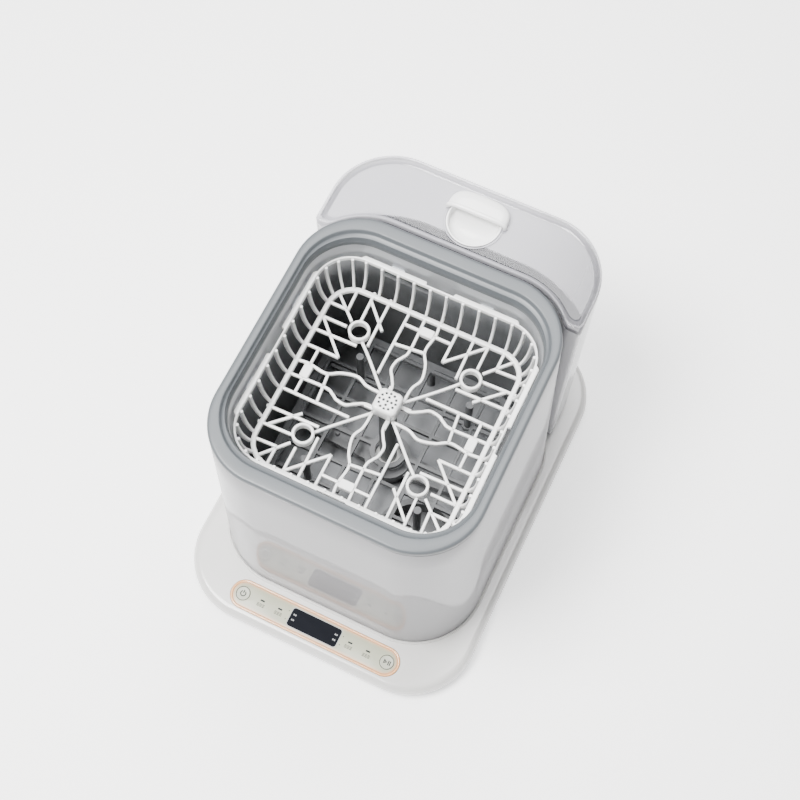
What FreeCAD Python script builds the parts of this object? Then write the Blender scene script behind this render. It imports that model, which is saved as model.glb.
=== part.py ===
import FreeCAD, Part
import math
import os
import re

import Sketcher
from FreeCAD import Vector

# Tabletop washer for baby bottles, in millimetres.
# +Z is up, the control panel faces -Y and the water tank stands at +Y.
# The origin is on the surface that the feet stand on, under the middle of the base.

doc = FreeCAD.newDocument("bottle_washer")

# Driving sizes, grouped by sub-assembly: name and value.
SIZES = {
    "base": {
        "base_width": 290.0,
        "base_depth": 397.0,
        "base_corner": 66.0,
        "deck_top": 20.0,
        "deck_plate": 3.0,
        "skirt_bottom": 5.5,
        "skirt_wall": 2.5,
        "deck_edge_round": 5.0,
        "pan_bottom": 3.0,
        "pan_floor": 2.5,
        "pan_wall": 2.2,
        "pan_rim": 12.0,
        "fit_gap": 0.3,
        "moving_gap": 0.4,
        "foot_diameter": 20.0,
        "foot_sink": 1.0,
        "foot_inset": 34.0,
        "screw_head": 6.0,
        "screw_shank": 3.0,
        "screw_length": 9.0,
    },
    "panel": {
        "panel_length": 176.0,
        "panel_width": 28.0,
        "panel_from_front": 23.0,
        "panel_pocket": 2.0,
        "bezel_width": 2.3,
        "fascia_proud": 0.4,
        "bezel_proud": 0.6,
        "display_length": 52.0,
        "display_width": 18.9,
        "display_corner": 3.0,
        "button_diameter": 12.6,
        "button_spread": 75.8,
        "button_thickness": 1.4,
        "button_travel": 0.8,
        "button_proud": 0.5,
        "stem_diameter": 4.5,
        "lens_length": 4.4,
        "lens_width": 1.6,
        "lens_inner": 37.0,
        "lens_outer": 55.6,
        "lens_offset": 1.5,
        "board_height": 8.0,
        "board_thickness": 1.6,
        "board_length": 168.0,
        "board_width": 20.0,
    },
    "body": {
        "body_width": 238.0,
        "body_depth": 257.6,
        "body_corner": 57.8,
        "body_centre": -15.0,
        "body_flare": 9.9,
        "body_top": 270.0,
        "shell_wall": 2.5,
        "rim_height": 7.0,
        "rim_round": 3.0,
        "rim_top_side": 8.0,
        "rim_top_front": 13.3,
        "ledge_side": 1.8,
        "ledge_front": 4.5,
        "lip_side": 1.5,
        "lip_front": 2.5,
        "ledge_drop": 4.0,
        "lip_drop": 8.5,
        "rim_skirt": 6.0,
        "seal_height": 0.8,
        "foot_bead": 2.2,
        "foot_bead_height": 1.2,
    },
    "tub": {
        "tub_wall": 1.5,
        "tub_floor": 70.0,
        "tub_flange": 5.0,
        "rest_width": 12.0,
        "rest_depth": 4.2,
        "rest_height": 7.0,
        "rest_spread": 42.0,
        "sump_x": 56.0,
        "sump_y": -56.0,
        "sump_diameter": 76.0,
        "sump_bottom": 44.0,
        "sump_wall": 2.0,
        "air_port_width": 46.0,
        "air_port_height": 14.0,
        "air_port_z": 228.0,
    },
    "wash": {
        "riser_diameter": 16.0,
        "riser_bore": 12.0,
        "riser_top": 217.0,
        "riser_flange": 38.0,
        "arm_bottom": 84.0,
        "arm_height": 10.0,
        "arm_reach": 88.0,
        "arm_root": 24.0,
        "arm_tip": 14.0,
        "arm_hub": 44.0,
        "bearing_fit": 0.15,
        "bush_diameter": 24.0,
        "bush_height": 3.4,
        "volute_diameter": 66.0,
        "volute_wall": 3.0,
        "volute_bottom": 36.0,
        "volute_top": 58.0,
        "impeller_diameter": 46.0,
        "impeller_height": 9.0,
        "shaft_diameter": 5.0,
        "motor_diameter": 50.0,
        "sensor_diameter": 12.0,
        "sensor_length": 8.0,
        "jet_diameter": 4.8,
        "jet_pitch": 14.0,
        "wing_height": 7.0,
        "drain_pump_x": 92.0,
        "drain_pump_y": 22.0,
        "drain_pump_diameter": 38.0,
        "drain_pump_top": 46.0,
        "hose_diameter": 9.0,
        "hose_gap": 0.5,
        "heater_outer": 60.0,
        "heater_tube": 7.0,
    },
    "basket": {
        "basket_width": 211.0,
        "basket_corner": 37.0,
        "basket_rim_z": 250.0,
        "basket_rim_height": 4.5,
        "basket_rim_band": 4.6,
        "basket_notch": 2.4,
        "basket_tab_inner": 13.0,
        "basket_tab_outer": 73.0,
        "basket_floor_z": 208.0,
        "basket_foot_width": 186.0,
        "basket_foot_corner": 26.0,
        "basket_foot_band": 4.4,
        "rib_pitch": 15.25,
        "rib_width": 2.6,
        "rib_height": 4.0,
        "ring_outer": 19.4,
        "ring_inner": 14.6,
        "cap_side": 22.0,
        "cap_corner": 5.0,
        "cap_top": 226.0,
        "cap_wall": 1.8,
        "cap_hole": 1.9,
        "cell_tab_length": 13.0,
        "cell_tab_width": 8.0,
    },
    "rack": {
        "rack_gap": 9.7,
        "rack_corner": 40.0,
        "rack_floor_z": 104.0,
        "rack_band": 6.0,
        "rack_rib": 3.0,
        "rack_pitch": 30.0,
        "rack_height": 5.0,
        "rack_post": 7.0,
        "rack_post_height": 52.0,
        "rack_post_spread": 55.0,
        "rack_leg": 8.0,
        "rack_leg_spread": 94.0,
        "rack_hub": 34.0,
        "rack_bore": 25.0,
    },
    "tank": {
        "tank_width": 249.0,
        "tank_rear": 191.0,
        "tank_corner": 58.5,
        "tank_horn": 98.0,
        "tank_horn_round": 4.0,
        "tank_bottom": 23.4,
        "tank_wall": 2.5,
        "tank_top": 253.0,
        "tank_clearance": 1.2,
        "tank_waist": 1.8,
        "lid_height": 9.0,
        "lid_lip": 2.6,
        "lid_slope": 6.0,
        "lid_recess": 5.0,
        "lid_plate": 2.6,
        "lid_tuck": 3.0,
        "grip_y": 157.0,
        "grip_diameter": 47.0,
        "grip_depth": 7.0,
        "grip_wall": 2.0,
        "hood_width": 58.0,
        "hood_height": 9.0,
        "hood_wall": 3.0,
        "hood_rear": 180.5,
        "valve_x": 45.0,
        "valve_y": 160.0,
        "valve_diameter": 22.0,
        "valve_height": 18.0,
        "valve_bore": 12.0,
        "poppet_stem": 4.0,
        "poppet_travel": 3.0,
        "dock_diameter": 34.0,
        "pad_diameter": 16.0,
        "shelf_drop": 10.0,
        "shelf_thickness": 1.5,
        "shelf_margin": 8.0,
        "shelf_shift": 8.5,
        "shelf_reach": 29.7,
    },
    "air": {
        "blower_x": -72.0,
        "blower_y": 44.0,
        "blower_diameter": 76.0,
        "blower_wall": 2.5,
        "blower_bottom": 26.0,
        "blower_top": 56.0,
        "wheel_diameter": 58.0,
        "wheel_height": 18.0,
        "wheel_hub": 16.0,
        "blower_motor_diameter": 34.0,
        "blower_eye": 36.0,
        "outlet_width": 26.0,
        "heater_box_depth": 17.0,
        "fin_pitch": 6.0,
        "fin_thickness": 1.5,
        "duct_width": 56.0,
        "duct_depth": 11.0,
        "duct_wall": 1.5,
        "duct_x": -36.0,
        "duct_bottom": 62.0,
        "duct_top": 244.0,
        "drawer_x": -40.0,
        "drawer_width": 62.0,
        "drawer_height": 7.6,
        "drawer_depth": 58.0,
        "drawer_bottom": 7.0,
        "drawer_wall": 1.6,
    },
    "electrics": {
        "inlet_x": -92.0,
        "inlet_width": 16.0,
        "inlet_height": 8.6,
        "inlet_bottom": 6.8,
        "inlet_depth": 18.0,
        "inlet_wall": 2.0,
        "main_board_x": -66.0,
        "main_board_y": -84.0,
        "main_board_length": 84.0,
        "main_board_width": 62.0,
        "main_board_z": 14.0,
        "board_box_height": 34.0,
        "board_box_wall": 2.0,
        "drain_port_x": 88.0,
        "drain_port_diameter": 12.0,
        "drain_port_bore": 7.0,
        "fresh_pump_x": 74.0,
        "fresh_pump_y": 78.0,
        "fresh_pump_diameter": 32.0,
        "fresh_pump_height": 34.0,
        "fill_pipe": 9.0,
        "fill_bore": 6.0,
    },
}

sheet = doc.addObject("Spreadsheet::Sheet", "Sizes")
sheet.Label = "Sizes"
row = 1
for group, entries in SIZES.items():
    sheet.set(f"A{row}", group)
    row += 1
    for alias, value in entries.items():
        sheet.set(f"A{row}", alias)
        sheet.set(f"B{row}", str(value))
        sheet.setAlias(f"B{row}", alias)
        row += 1
doc.recompute()

ALIASES = {alias for entries in SIZES.values() for alias in entries}


def bound(text):
    """Expression in which every driving size is read from the sheet."""
    return re.sub(r"[a-z_]+", lambda m: "Sizes." + m[0] if m[0] in ALIASES else m[0], text)


def worth(text):
    """Number that an expression of driving sizes comes to."""
    return float(sheet.evalExpression(text))


def size(alias):
    """Value of one driving size."""
    return float(sheet.get(alias))


# Outlines that a sketch can hold

def name_size(sketch, index, name, text):
    """Name one constraint and tie it to an expression of driving sizes."""
    sketch.renameConstraint(index, name)
    sketch.setExpression("Constraints." + name, bound(text))


def rounded(half, front, rear, radius):
    """Rounded rectangle from -half to half in X and from front to rear in Y."""

    def draw(sketch, tag):
        h = worth(half)
        f = worth(front)
        k = worth(rear)
        r = worth(radius)
        up = Vector(0, 0, 1)
        first = sketch.GeometryCount
        corners = [(h - r, f + r), (h - r, k - r), (r - h, k - r), (r - h, f + r)]
        ends = [(r - h, f, h - r, f), (h, f + r, h, k - r), (h - r, k, r - h, k), (-h, k - r, -h, f + r)]
        turn = -math.pi / 2
        for (x, y), (x1, y1, x2, y2) in zip(corners, ends):
            sketch.addGeometry(Part.LineSegment(Vector(x1, y1, 0), Vector(x2, y2, 0)), False)
            circle = Part.Circle(Vector(x, y, 0), up, r)
            sketch.addGeometry(Part.ArcOfCircle(circle, turn, turn + math.pi / 2), False)
            turn += math.pi / 2
        for side in range(8):
            here = first + side
            after = first + (side + 1) % 8
            sketch.addConstraint(Sketcher.Constraint("Tangent", here, 2, after, 1))
        for side, way in ((0, "Horizontal"), (2, "Vertical"), (4, "Horizontal"), (6, "Vertical")):
            sketch.addConstraint(Sketcher.Constraint(way, first + side))
        for arc in (3, 5, 7):
            sketch.addConstraint(Sketcher.Constraint("Equal", first + 1, first + arc))
        index = sketch.addConstraint(Sketcher.Constraint("Radius", first + 1, r))
        name_size(sketch, index, tag + "radius", radius)
        index = sketch.addConstraint(Sketcher.Constraint("DistanceX", -1, 1, first + 2, 1, h))
        name_size(sketch, index, tag + "right", half)
        index = sketch.addConstraint(Sketcher.Constraint("DistanceX", first + 6, 1, -1, 1, h))
        name_size(sketch, index, tag + "left", half)
        index = sketch.addConstraint(Sketcher.Constraint("DistanceY", -1, 1, first, 1, f))
        name_size(sketch, index, tag + "front", front)
        index = sketch.addConstraint(Sketcher.Constraint("DistanceY", -1, 1, first + 4, 1, k))
        name_size(sketch, index, tag + "rear", rear)

    return draw


def around_body(half_x, half_y, radius):
    """Rounded rectangle centred on the wash body."""
    return rounded(half_x, f"body_centre - ({half_y})", f"body_centre + ({half_y})", radius)


def disc(x, y, radius):
    """Circle about (x, y)."""

    def draw(sketch, tag):
        centre = Vector(worth(x), worth(y), 0)
        circle = Part.Circle(centre, Vector(0, 0, 1), worth(radius))
        index = sketch.addGeometry(circle, False)
        where = sketch.addConstraint(Sketcher.Constraint("DistanceX", -1, 1, index, 3, centre.x))
        name_size(sketch, where, tag + "x", x)
        where = sketch.addConstraint(Sketcher.Constraint("DistanceY", -1, 1, index, 3, centre.y))
        name_size(sketch, where, tag + "y", y)
        where = sketch.addConstraint(Sketcher.Constraint("Radius", index, worth(radius)))
        name_size(sketch, where, tag + "radius", radius)

    return draw


class Moulding:
    """One moulded piece, built up from level outlines that are padded and pocketed."""

    def __init__(self, label):
        self.body = doc.addObject("PartDesign::Body", label)
        self.body.Label = label
        self.count = 0
        for feature in self.body.Origin.OriginFeatures:
            if feature.Role == "XY_Plane":
                self.level = feature

    def sketch(self, height, outlines):
        """Level sketch at a height, holding one or more closed outlines."""
        self.count += 1
        sketch = self.body.newObject("Sketcher::SketchObject", f"{self.body.Label}_outline_{self.count}")
        sketch.AttachmentSupport = (self.level, [""])
        sketch.MapMode = "FlatFace"
        sketch.setExpression(".AttachmentOffset.Base.z", bound(height))
        for number, outline in enumerate(outlines):
            outline(sketch, f"p{number}_")
        doc.recompute()
        return sketch

    def pad(self, bottom, thickness, *outlines):
        """Add material from a height upwards."""
        profile = self.sketch(bottom, outlines)
        pad = self.body.newObject("PartDesign::Pad", f"{self.body.Label}_pad_{self.count}")
        pad.Profile = profile
        pad.setExpression("Length", bound(thickness))
        doc.recompute()
        return pad

    def pocket(self, top, depth, *outlines):
        """Take material away from a height downwards."""
        before = self.body.Shape.Volume
        profile = self.sketch(top, outlines)
        pocket = self.body.newObject("PartDesign::Pocket", f"{self.body.Label}_cut_{self.count}")
        pocket.Profile = profile
        pocket.setExpression("Length", bound(depth))
        doc.recompute()
        if self.body.Shape.Volume >= before:
            raise RuntimeError(f"{pocket.Name} takes nothing away")
        return pocket

    def loft(self, bottom, lower, top, upper):
        """Add material between two outlines at two heights."""
        return self.between("PartDesign::AdditiveLoft", bottom, lower, top, upper)

    def cut_loft(self, bottom, lower, top, upper):
        """Take away material between two outlines at two heights."""
        return self.between("PartDesign::SubtractiveLoft", bottom, lower, top, upper)

    def between(self, kind, bottom, lower, top, upper):
        """Ruled loft of either kind."""
        first = self.sketch(bottom, [lower])
        second = self.sketch(top, [upper])
        loft = self.body.newObject(kind, f"{self.body.Label}_loft_{self.count}")
        loft.Profile = first
        loft.Sections = [second]
        loft.Ruled = True
        doc.recompute()
        return loft

    def round_edges(self, radius, chosen):
        """Round the edges that the test picks on the present shape."""
        picked = []
        for number, edge in enumerate(self.body.Shape.Edges, 1):
            if chosen(edge):
                picked.append(f"Edge{number}")
        rounded_feature = self.body.Tip
        fillet = self.body.newObject("PartDesign::Fillet", f"{self.body.Label}_round_{self.count}")
        fillet.Base = (rounded_feature, picked)
        fillet.setExpression("Radius", bound(radius))
        doc.recompute()
        return fillet


def at_height(height):
    """Test for edges that lie level at one height."""

    def test(edge):
        box = edge.BoundBox
        return abs(box.ZMin - height) < 0.01 and abs(box.ZMax - height) < 0.01

    return test


# Plain primitives tied to the sheet

def place(item, x, y, z):
    """Tie the position of an item to expressions."""
    item.setExpression(".Placement.Base.x", bound(x))
    item.setExpression(".Placement.Base.y", bound(y))
    item.setExpression(".Placement.Base.z", bound(z))


def block(name, x, y, z, length, width, height):
    """Box with its lowest corner at (x, y, z)."""
    item = doc.addObject("Part::Box", name)
    item.setExpression("Length", bound(length))
    item.setExpression("Width", bound(width))
    item.setExpression("Height", bound(height))
    place(item, x, y, z)
    return item


def centred_block(name, x, y, z, length, width, height):
    """Box centred on (x, y) that starts at height z."""
    return block(name, f"{x} - ({length}) / 2", f"{y} - ({width}) / 2", z, length, width, height)


def rod(name, x, y, z, diameter, height, turn=None):
    """Upright cylinder, or one turned about an axis by (axis, degrees)."""
    item = doc.addObject("Part::Cylinder", name)
    item.setExpression("Radius", bound(f"({diameter}) / 2"))
    item.setExpression("Height", bound(height))
    if turn:
        item.Placement = FreeCAD.Placement(Vector(), FreeCAD.Rotation(*turn))
    place(item, x, y, z)
    return item


def cone(name, x, y, z, lower, upper, height):
    """Upright cone between two diameters."""
    item = doc.addObject("Part::Cone", name)
    item.setExpression("Radius1", bound(f"({lower}) / 2"))
    item.setExpression("Radius2", bound(f"({upper}) / 2"))
    item.setExpression("Height", bound(height))
    place(item, x, y, z)
    return item


def join(name, *items):
    """Fuse items into one."""
    fused = doc.addObject("Part::MultiFuse", name)
    fused.Shapes = list(items)
    fused.Refine = True
    return fused


def group(name, *items):
    """Separate solids of one kind that share a node."""
    together = doc.addObject("Part::Compound", name)
    together.Links = list(items)
    return together


def carve(name, base, *tools):
    """Cut one or more tools from a base."""
    tool = tools[0] if len(tools) == 1 else join(name + "_tools", *tools)
    cut = doc.addObject("Part::Cut", name)
    cut.Base = base
    cut.Tool = tool
    return cut


def shaped(label, shape):
    """Piece whose shape is worked out from the sheet's sizes."""
    item = doc.addObject("Part::Feature", label)
    item.Label = label
    item.Shape = shape
    return item


NODES = []


def node(item, label=None):
    """Keep an item as one piece of the washer."""
    if isinstance(item, Moulding):
        item = item.body
    if label:
        item.Label = label
    NODES.append(item)
    return item


# Base: pan, deck, feet and screws

HALF_BASE = "base_width / 2"
PORT_Z = "(deck_top - deck_plate - hose_diameter / 2 - fit_gap)"
END_BASE = "base_depth / 2"


def base_outline(inset):
    """Outline of the base, drawn in by an inset all round."""
    return rounded(f"{HALF_BASE} - ({inset})", f"-{END_BASE} + ({inset})",
                   f"{END_BASE} - ({inset})", f"base_corner - ({inset})")


def foot_outline(offset):
    """Outline of the wash body where it meets the deck, moved out by an offset."""
    return around_body(f"body_width / 2 + body_flare + ({offset})",
                       f"body_depth / 2 + body_flare + ({offset})",
                       f"body_corner + body_flare + ({offset})")


def top_outline(inset_x, inset_y, inset_corner):
    """Outline of the top of the wash body, drawn in by its own inset each way."""
    return around_body(f"body_width / 2 - ({inset_x})", f"body_depth / 2 - ({inset_y})",
                       f"body_corner - ({inset_corner})")


def corner_points(inset_x, inset_y):
    """Four points near the corners of the base."""
    points = []
    for side_x in ("-", ""):
        for side_y in ("-", ""):
            points.append((f"{side_x}({HALF_BASE} - ({inset_x}))", f"{side_y}({END_BASE} - ({inset_y}))"))
    return points


SCREW_INSET = ("foot_inset", "foot_inset + foot_diameter")


def rear_openings(name, wall_clearance):
    """Blocks that open the rear edge of the base for the socket, the drawer and the drain."""
    socket = centred_block(name + "_socket", "inlet_x", END_BASE, f"inlet_bottom - {wall_clearance}",
                           f"inlet_width + 2 * ({wall_clearance})", "4 * skirt_wall + 4 * pan_wall",
                           f"inlet_height + 2 * ({wall_clearance})")
    drawer = centred_block(name + "_drawer", "drawer_x", END_BASE, "drawer_bottom - moving_gap",
                           "drawer_width + 2 * moving_gap", "4 * skirt_wall + 4 * pan_wall",
                           "drawer_height + 2 * moving_gap")
    drain = rod(name + "_drain", "drain_port_x", f"{END_BASE} + skirt_wall", PORT_Z,
                "drain_port_diameter", "4 * skirt_wall + 4 * pan_wall", (Vector(1, 0, 0), 90))
    return socket, drawer, drain


pan = Moulding("pan_form")
pan.pad("pan_bottom", "pan_rim - pan_bottom", base_outline("skirt_wall + fit_gap"))
pan.pocket("pan_rim", "pan_rim - pan_bottom - pan_floor", base_outline("skirt_wall + fit_gap + pan_wall"))
pan.pocket("pan_bottom + foot_sink", "foot_sink",
           *[disc(x, y, "foot_diameter / 2 + fit_gap") for x, y in corner_points("foot_inset", "foot_inset")])
pan.pocket("pan_bottom + pan_floor", "pan_floor",
           *[disc(x, y, "screw_shank / 2 + fit_gap") for x, y in corner_points(*SCREW_INSET)])
node(carve("base_pan", pan.body, *rear_openings("pan_opening", "fit_gap")))

deck = Moulding("deck_form")
deck.pad("skirt_bottom", "deck_top - skirt_bottom", base_outline("0"))
deck.round_edges("deck_edge_round", at_height(size("deck_top")))
deck.pocket("deck_top - deck_plate", "deck_top - deck_plate - skirt_bottom", base_outline("skirt_wall"))
deck.pocket("deck_top", "deck_plate", foot_outline("-3 * shell_wall"))
deck.pocket("deck_top", "deck_plate", disc("valve_x", "valve_y", "valve_bore / 2 + volute_wall + fit_gap"))
deck.pad("deck_top", "foot_bead_height", foot_outline("foot_bead + fit_gap"), foot_outline("fit_gap"))

PANEL_Y = f"(panel_from_front - {END_BASE})"


def pill(inset):
    """Outline of the control panel, drawn in by an inset; its ends are all but full half circles."""
    return rounded(f"panel_length / 2 - ({inset})", f"{PANEL_Y} - panel_width / 2 + ({inset})",
                   f"{PANEL_Y} + panel_width / 2 - ({inset})", f"panel_width / 2 - ({inset}) - fit_gap / 10")


def display_outline(offset):
    """Outline of the display window, moved out by an offset."""
    return rounded(f"display_length / 2 + ({offset})", f"{PANEL_Y} - display_width / 2 - ({offset})",
                   f"{PANEL_Y} + display_width / 2 + ({offset})", f"display_corner + ({offset})")


LENS_PLACES = ("-lens_outer", "-lens_inner", "lens_inner", "lens_outer")
LENS_Y = f"({PANEL_Y} + lens_offset)"


def lens_outline(x, offset):
    """Outline of one small light bar, moved out by an offset: a plain rectangle."""

    def draw(sketch, tag):
        half_x = f"lens_length / 2 + ({offset})"
        half_y = f"lens_width / 2 + ({offset})"
        edges = [worth(f"{x} - ({half_x})"), worth(f"{x} + ({half_x})")]
        ends = [worth(f"{LENS_Y} - ({half_y})"), worth(f"{LENS_Y} + ({half_y})")]
        corners = [(edges[0], ends[0]), (edges[1], ends[0]), (edges[1], ends[1]), (edges[0], ends[1])]
        first = sketch.GeometryCount
        for here, after in zip(corners, corners[1:] + corners[:1]):
            sketch.addGeometry(Part.LineSegment(Vector(*here, 0), Vector(*after, 0)), False)
        for side in range(4):
            sketch.addConstraint(
                Sketcher.Constraint("Coincident", first + side, 2, first + (side + 1) % 4, 1))
        for side, way in ((0, "Horizontal"), (1, "Vertical"), (2, "Horizontal"), (3, "Vertical")):
            sketch.addConstraint(Sketcher.Constraint(way, first + side))
        for name, way, point, value, text in (
                ("low_x", "DistanceX", 0, edges[0], f"{x} - ({half_x})"),
                ("high_x", "DistanceX", 1, edges[1], f"{x} + ({half_x})"),
                ("low_y", "DistanceY", 0, ends[0], f"{LENS_Y} - ({half_y})"),
                ("high_y", "DistanceY", 2, ends[1], f"{LENS_Y} + ({half_y})")):
            index = sketch.addConstraint(Sketcher.Constraint(way, -1, 1, first + point, 1, value))
            name_size(sketch, index, tag + name, text)

    return draw


BUTTON_PLACES = ("-button_spread", "button_spread")

deck.pocket("deck_top", "panel_pocket", pill("-fit_gap"))
deck.pocket("deck_top", "deck_plate",
            *[disc(x, PANEL_Y, "stem_diameter / 2 + moving_gap") for x in BUTTON_PLACES],
            *[lens_outline(x, "0") for x in LENS_PLACES], display_outline("-panel_pocket"))
node(carve("base_deck", deck.body, *rear_openings("deck_opening", "fit_gap")))

fascia = Moulding("control_fascia")
fascia.pad("deck_top - panel_pocket", "panel_pocket + fascia_proud", pill("bezel_width + fit_gap / 2"))
fascia.pocket("deck_top + fascia_proud", "panel_pocket + fascia_proud",
              *[disc(x, PANEL_Y, "button_diameter / 2 + fit_gap") for x in BUTTON_PLACES],
              *[lens_outline(x, "fit_gap / 6") for x in LENS_PLACES], display_outline("fit_gap / 2"))
node(fascia)

bezel = Moulding("amber_bezel")
bezel.pad("deck_top - panel_pocket", "panel_pocket + bezel_proud", pill("0"), pill("bezel_width"))
node(bezel)

window = Moulding("display_window")
window.pad("deck_top - panel_pocket", "panel_pocket + bezel_proud", display_outline("0"))
node(window)

bars = []
for number, x in enumerate(LENS_PLACES, 1):
    bars.append(centred_block(f"lens_bar_{number}", x, LENS_Y, "board_height + board_thickness",
                              "lens_length", "lens_width",
                              "deck_top + fascia_proud - board_height - board_thickness"))
node(group("indicator_lenses", *bars))

SWITCH_TOP = "(deck_top - deck_plate - 2 * button_travel - button_thickness)"
for name, x in zip(("power_button", "start_pause_button"), BUTTON_PLACES):
    cap_bottom = "(deck_top + button_proud - button_thickness)"
    cap = rod(name + "_cap", x, PANEL_Y, cap_bottom, "button_diameter", "button_thickness")
    stem = rod(name + "_stem", x, PANEL_Y, f"{SWITCH_TOP} + button_travel + fit_gap / 2", "stem_diameter",
               f"{cap_bottom} - {SWITCH_TOP} - button_travel")
    node(join(name, cap, stem))

board = centred_block("panel_board_sheet", "0", PANEL_Y, "board_height", "board_length", "board_width",
                      "board_thickness")
node(board, "panel_board")
switches = []
for number, x in enumerate(BUTTON_PLACES, 1):
    switches.append(centred_block(f"switch_{number}", x, PANEL_Y, "board_height + board_thickness",
                                  "stem_diameter * 1.4", "stem_diameter * 1.4",
                                  f"{SWITCH_TOP} - board_height - board_thickness"))
node(group("tact_switches", *switches))
node(centred_block("display_module", "0", PANEL_Y, "board_height + board_thickness",
                   "display_length - 2 * panel_pocket - 2 * fit_gap",
                   "display_width - 2 * panel_pocket - 2 * fit_gap",
                   "deck_top - panel_pocket - board_height - board_thickness"))

pegs = []
for number, x in enumerate(("-board_length / 2 + board_width / 4", "board_length / 2 - board_width / 4"), 1):
    pegs.append(rod(f"board_peg_{number}", x, PANEL_Y, "pan_bottom + pan_floor", "stem_diameter",
                    "board_height - pan_bottom - pan_floor"))
node(group("panel_board_pegs", *pegs))

node(group("rubber_feet", *[rod(f"foot_{n}", x, y, "0", "foot_diameter", "pan_bottom + foot_sink")
                            for n, (x, y) in enumerate(corner_points("foot_inset", "foot_inset"), 1)]))

screws = []
for number, (x, y) in enumerate(corner_points(*SCREW_INSET), 1):
    shank = rod(f"screw_shank_{number}", x, y, "pan_bottom", "screw_shank", "screw_length")
    head = rod(f"screw_head_{number}", x, y, "pan_bottom - screw_shank / 2", "screw_head", "screw_shank / 2")
    screws.append(join(f"screw_{number}", shank, head))
node(group("base_screws", *screws))


# Wash body: outer shell, rim frame and its seal

shell = Moulding("shell_form")
shell.loft("deck_top", foot_outline("0"), "body_top", top_outline("0", "0", "0"))
shell.cut_loft("deck_top", foot_outline("-shell_wall"), "body_top",
               top_outline("shell_wall", "shell_wall", "shell_wall"))
node(shell, "body_shell")

RIM_TOP = "(body_top + rim_height)"
rim = Moulding("rim_frame")
rim.pad("body_top - rim_skirt", "rim_skirt + seal_height",
        top_outline("shell_wall + fit_gap / 2", "shell_wall + fit_gap / 2", "shell_wall + fit_gap / 2"))
rim.pad("body_top + seal_height", "rim_height - seal_height", top_outline("0", "0", "0"))
rim.round_edges("rim_round", at_height(worth(RIM_TOP)))
STEPS = (
    ("rim_top_side", "rim_top_front", "0", "ledge_drop"),
    ("rim_top_side + ledge_side", "rim_top_front + ledge_front", "ledge_drop", "lip_drop - ledge_drop"),
    ("rim_top_side + ledge_side + lip_side", "rim_top_front + ledge_front + lip_front", "lip_drop",
     "rim_height + rim_skirt - lip_drop"),
)
for inset_x, inset_y, drop, depth in STEPS:
    rim.pocket(f"{RIM_TOP} - {drop}", depth, top_outline(inset_x, inset_y, inset_x))
node(rim)

seal = Moulding("rim_seal")
seal.pad("body_top", "seal_height", top_outline("shell_wall / 2", "shell_wall / 2", "shell_wall / 2"),
         top_outline("shell_wall + fit_gap / 2", "shell_wall + fit_gap / 2", "shell_wall + fit_gap / 2"))
node(seal)


# Wash tub, sump and the pieces under the tub

TUB_SIDE = "(rim_top_side + ledge_side + lip_side)"
TUB_END = "(rim_top_front + ledge_front + lip_front)"
TUB_TOP = "(body_top - rim_skirt)"


def tub_outline(offset):
    """Inside outline of the tub, moved out by an offset."""
    return top_outline(f"{TUB_SIDE} - ({offset})", f"{TUB_END} - ({offset})", f"{TUB_SIDE} - ({offset})")


SUMP = ("sump_x", "body_centre + sump_y")
tub = Moulding("tub_form")
tub.pad("tub_floor - tub_wall", f"{TUB_TOP} - tub_floor + tub_wall", tub_outline("tub_wall"))
tub.pad(f"{TUB_TOP} - tub_wall", "tub_wall", tub_outline("tub_flange"))
tub.pocket(TUB_TOP, f"{TUB_TOP} - tub_floor", tub_outline("0"))
tub.pocket("tub_floor", "tub_wall", disc(*SUMP, "sump_diameter / 2"),
           disc("0", "body_centre", "riser_diameter / 2 + fit_gap"))
rests = []
TUB_HALF_X = f"(body_width / 2 - {TUB_SIDE})"
TUB_HALF_Y = f"(body_depth / 2 - {TUB_END})"
REST_Z = "basket_rim_z - basket_rim_height - fit_gap - rest_height"
for number, (way, sign) in enumerate((w, s) for w in (-1, 1) for s in (-1, 1)):
    rests.append(centred_block(f"rest_side_{number}",
                               f"{way} * ({TUB_HALF_X} - rest_depth / 2 + tub_wall / 4)",
                               f"body_centre + {sign} * rest_spread", REST_Z,
                               "rest_depth + tub_wall / 2", "rest_width", "rest_height"))
    rests.append(centred_block(f"rest_end_{number}", f"{sign} * rest_spread",
                               f"body_centre + {way} * ({TUB_HALF_Y} - rest_depth / 2 + tub_wall / 4)",
                               REST_Z, "rest_width", "rest_depth + tub_wall / 2", "rest_height"))
AIR_PORT_Y = f"(body_centre + {TUB_HALF_Y})"
air_port = centred_block("air_port", "duct_x", AIR_PORT_Y, "air_port_z - air_port_height / 2",
                         "air_port_width", "6 * tub_wall", "air_port_height")
node(carve("wash_tub", join("tub_with_rests", tub.body, *rests), air_port))

cup = rod("sump_outside", *SUMP, "sump_bottom", "sump_diameter + 2 * sump_wall",
          "tub_floor - tub_wall - sump_bottom")
cup_rim = rod("sump_rim", *SUMP, "tub_floor - tub_wall - sump_wall", "sump_diameter + 8 * sump_wall",
              "sump_wall")
cup_room = rod("sump_room", *SUMP, "sump_bottom + sump_wall", "sump_diameter",
               "tub_floor - sump_bottom")
feed_length = f"(sqrt(sump_x ^ 2 + sump_y ^ 2) - sump_diameter / 2 - volute_diameter / 2)"
PIPE_Z = "(volute_bottom + volute_top) / 2"
feed_turn = (Vector(0, 0, 1), math.degrees(math.atan2(size("sump_y"), size("sump_x"))))


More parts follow.
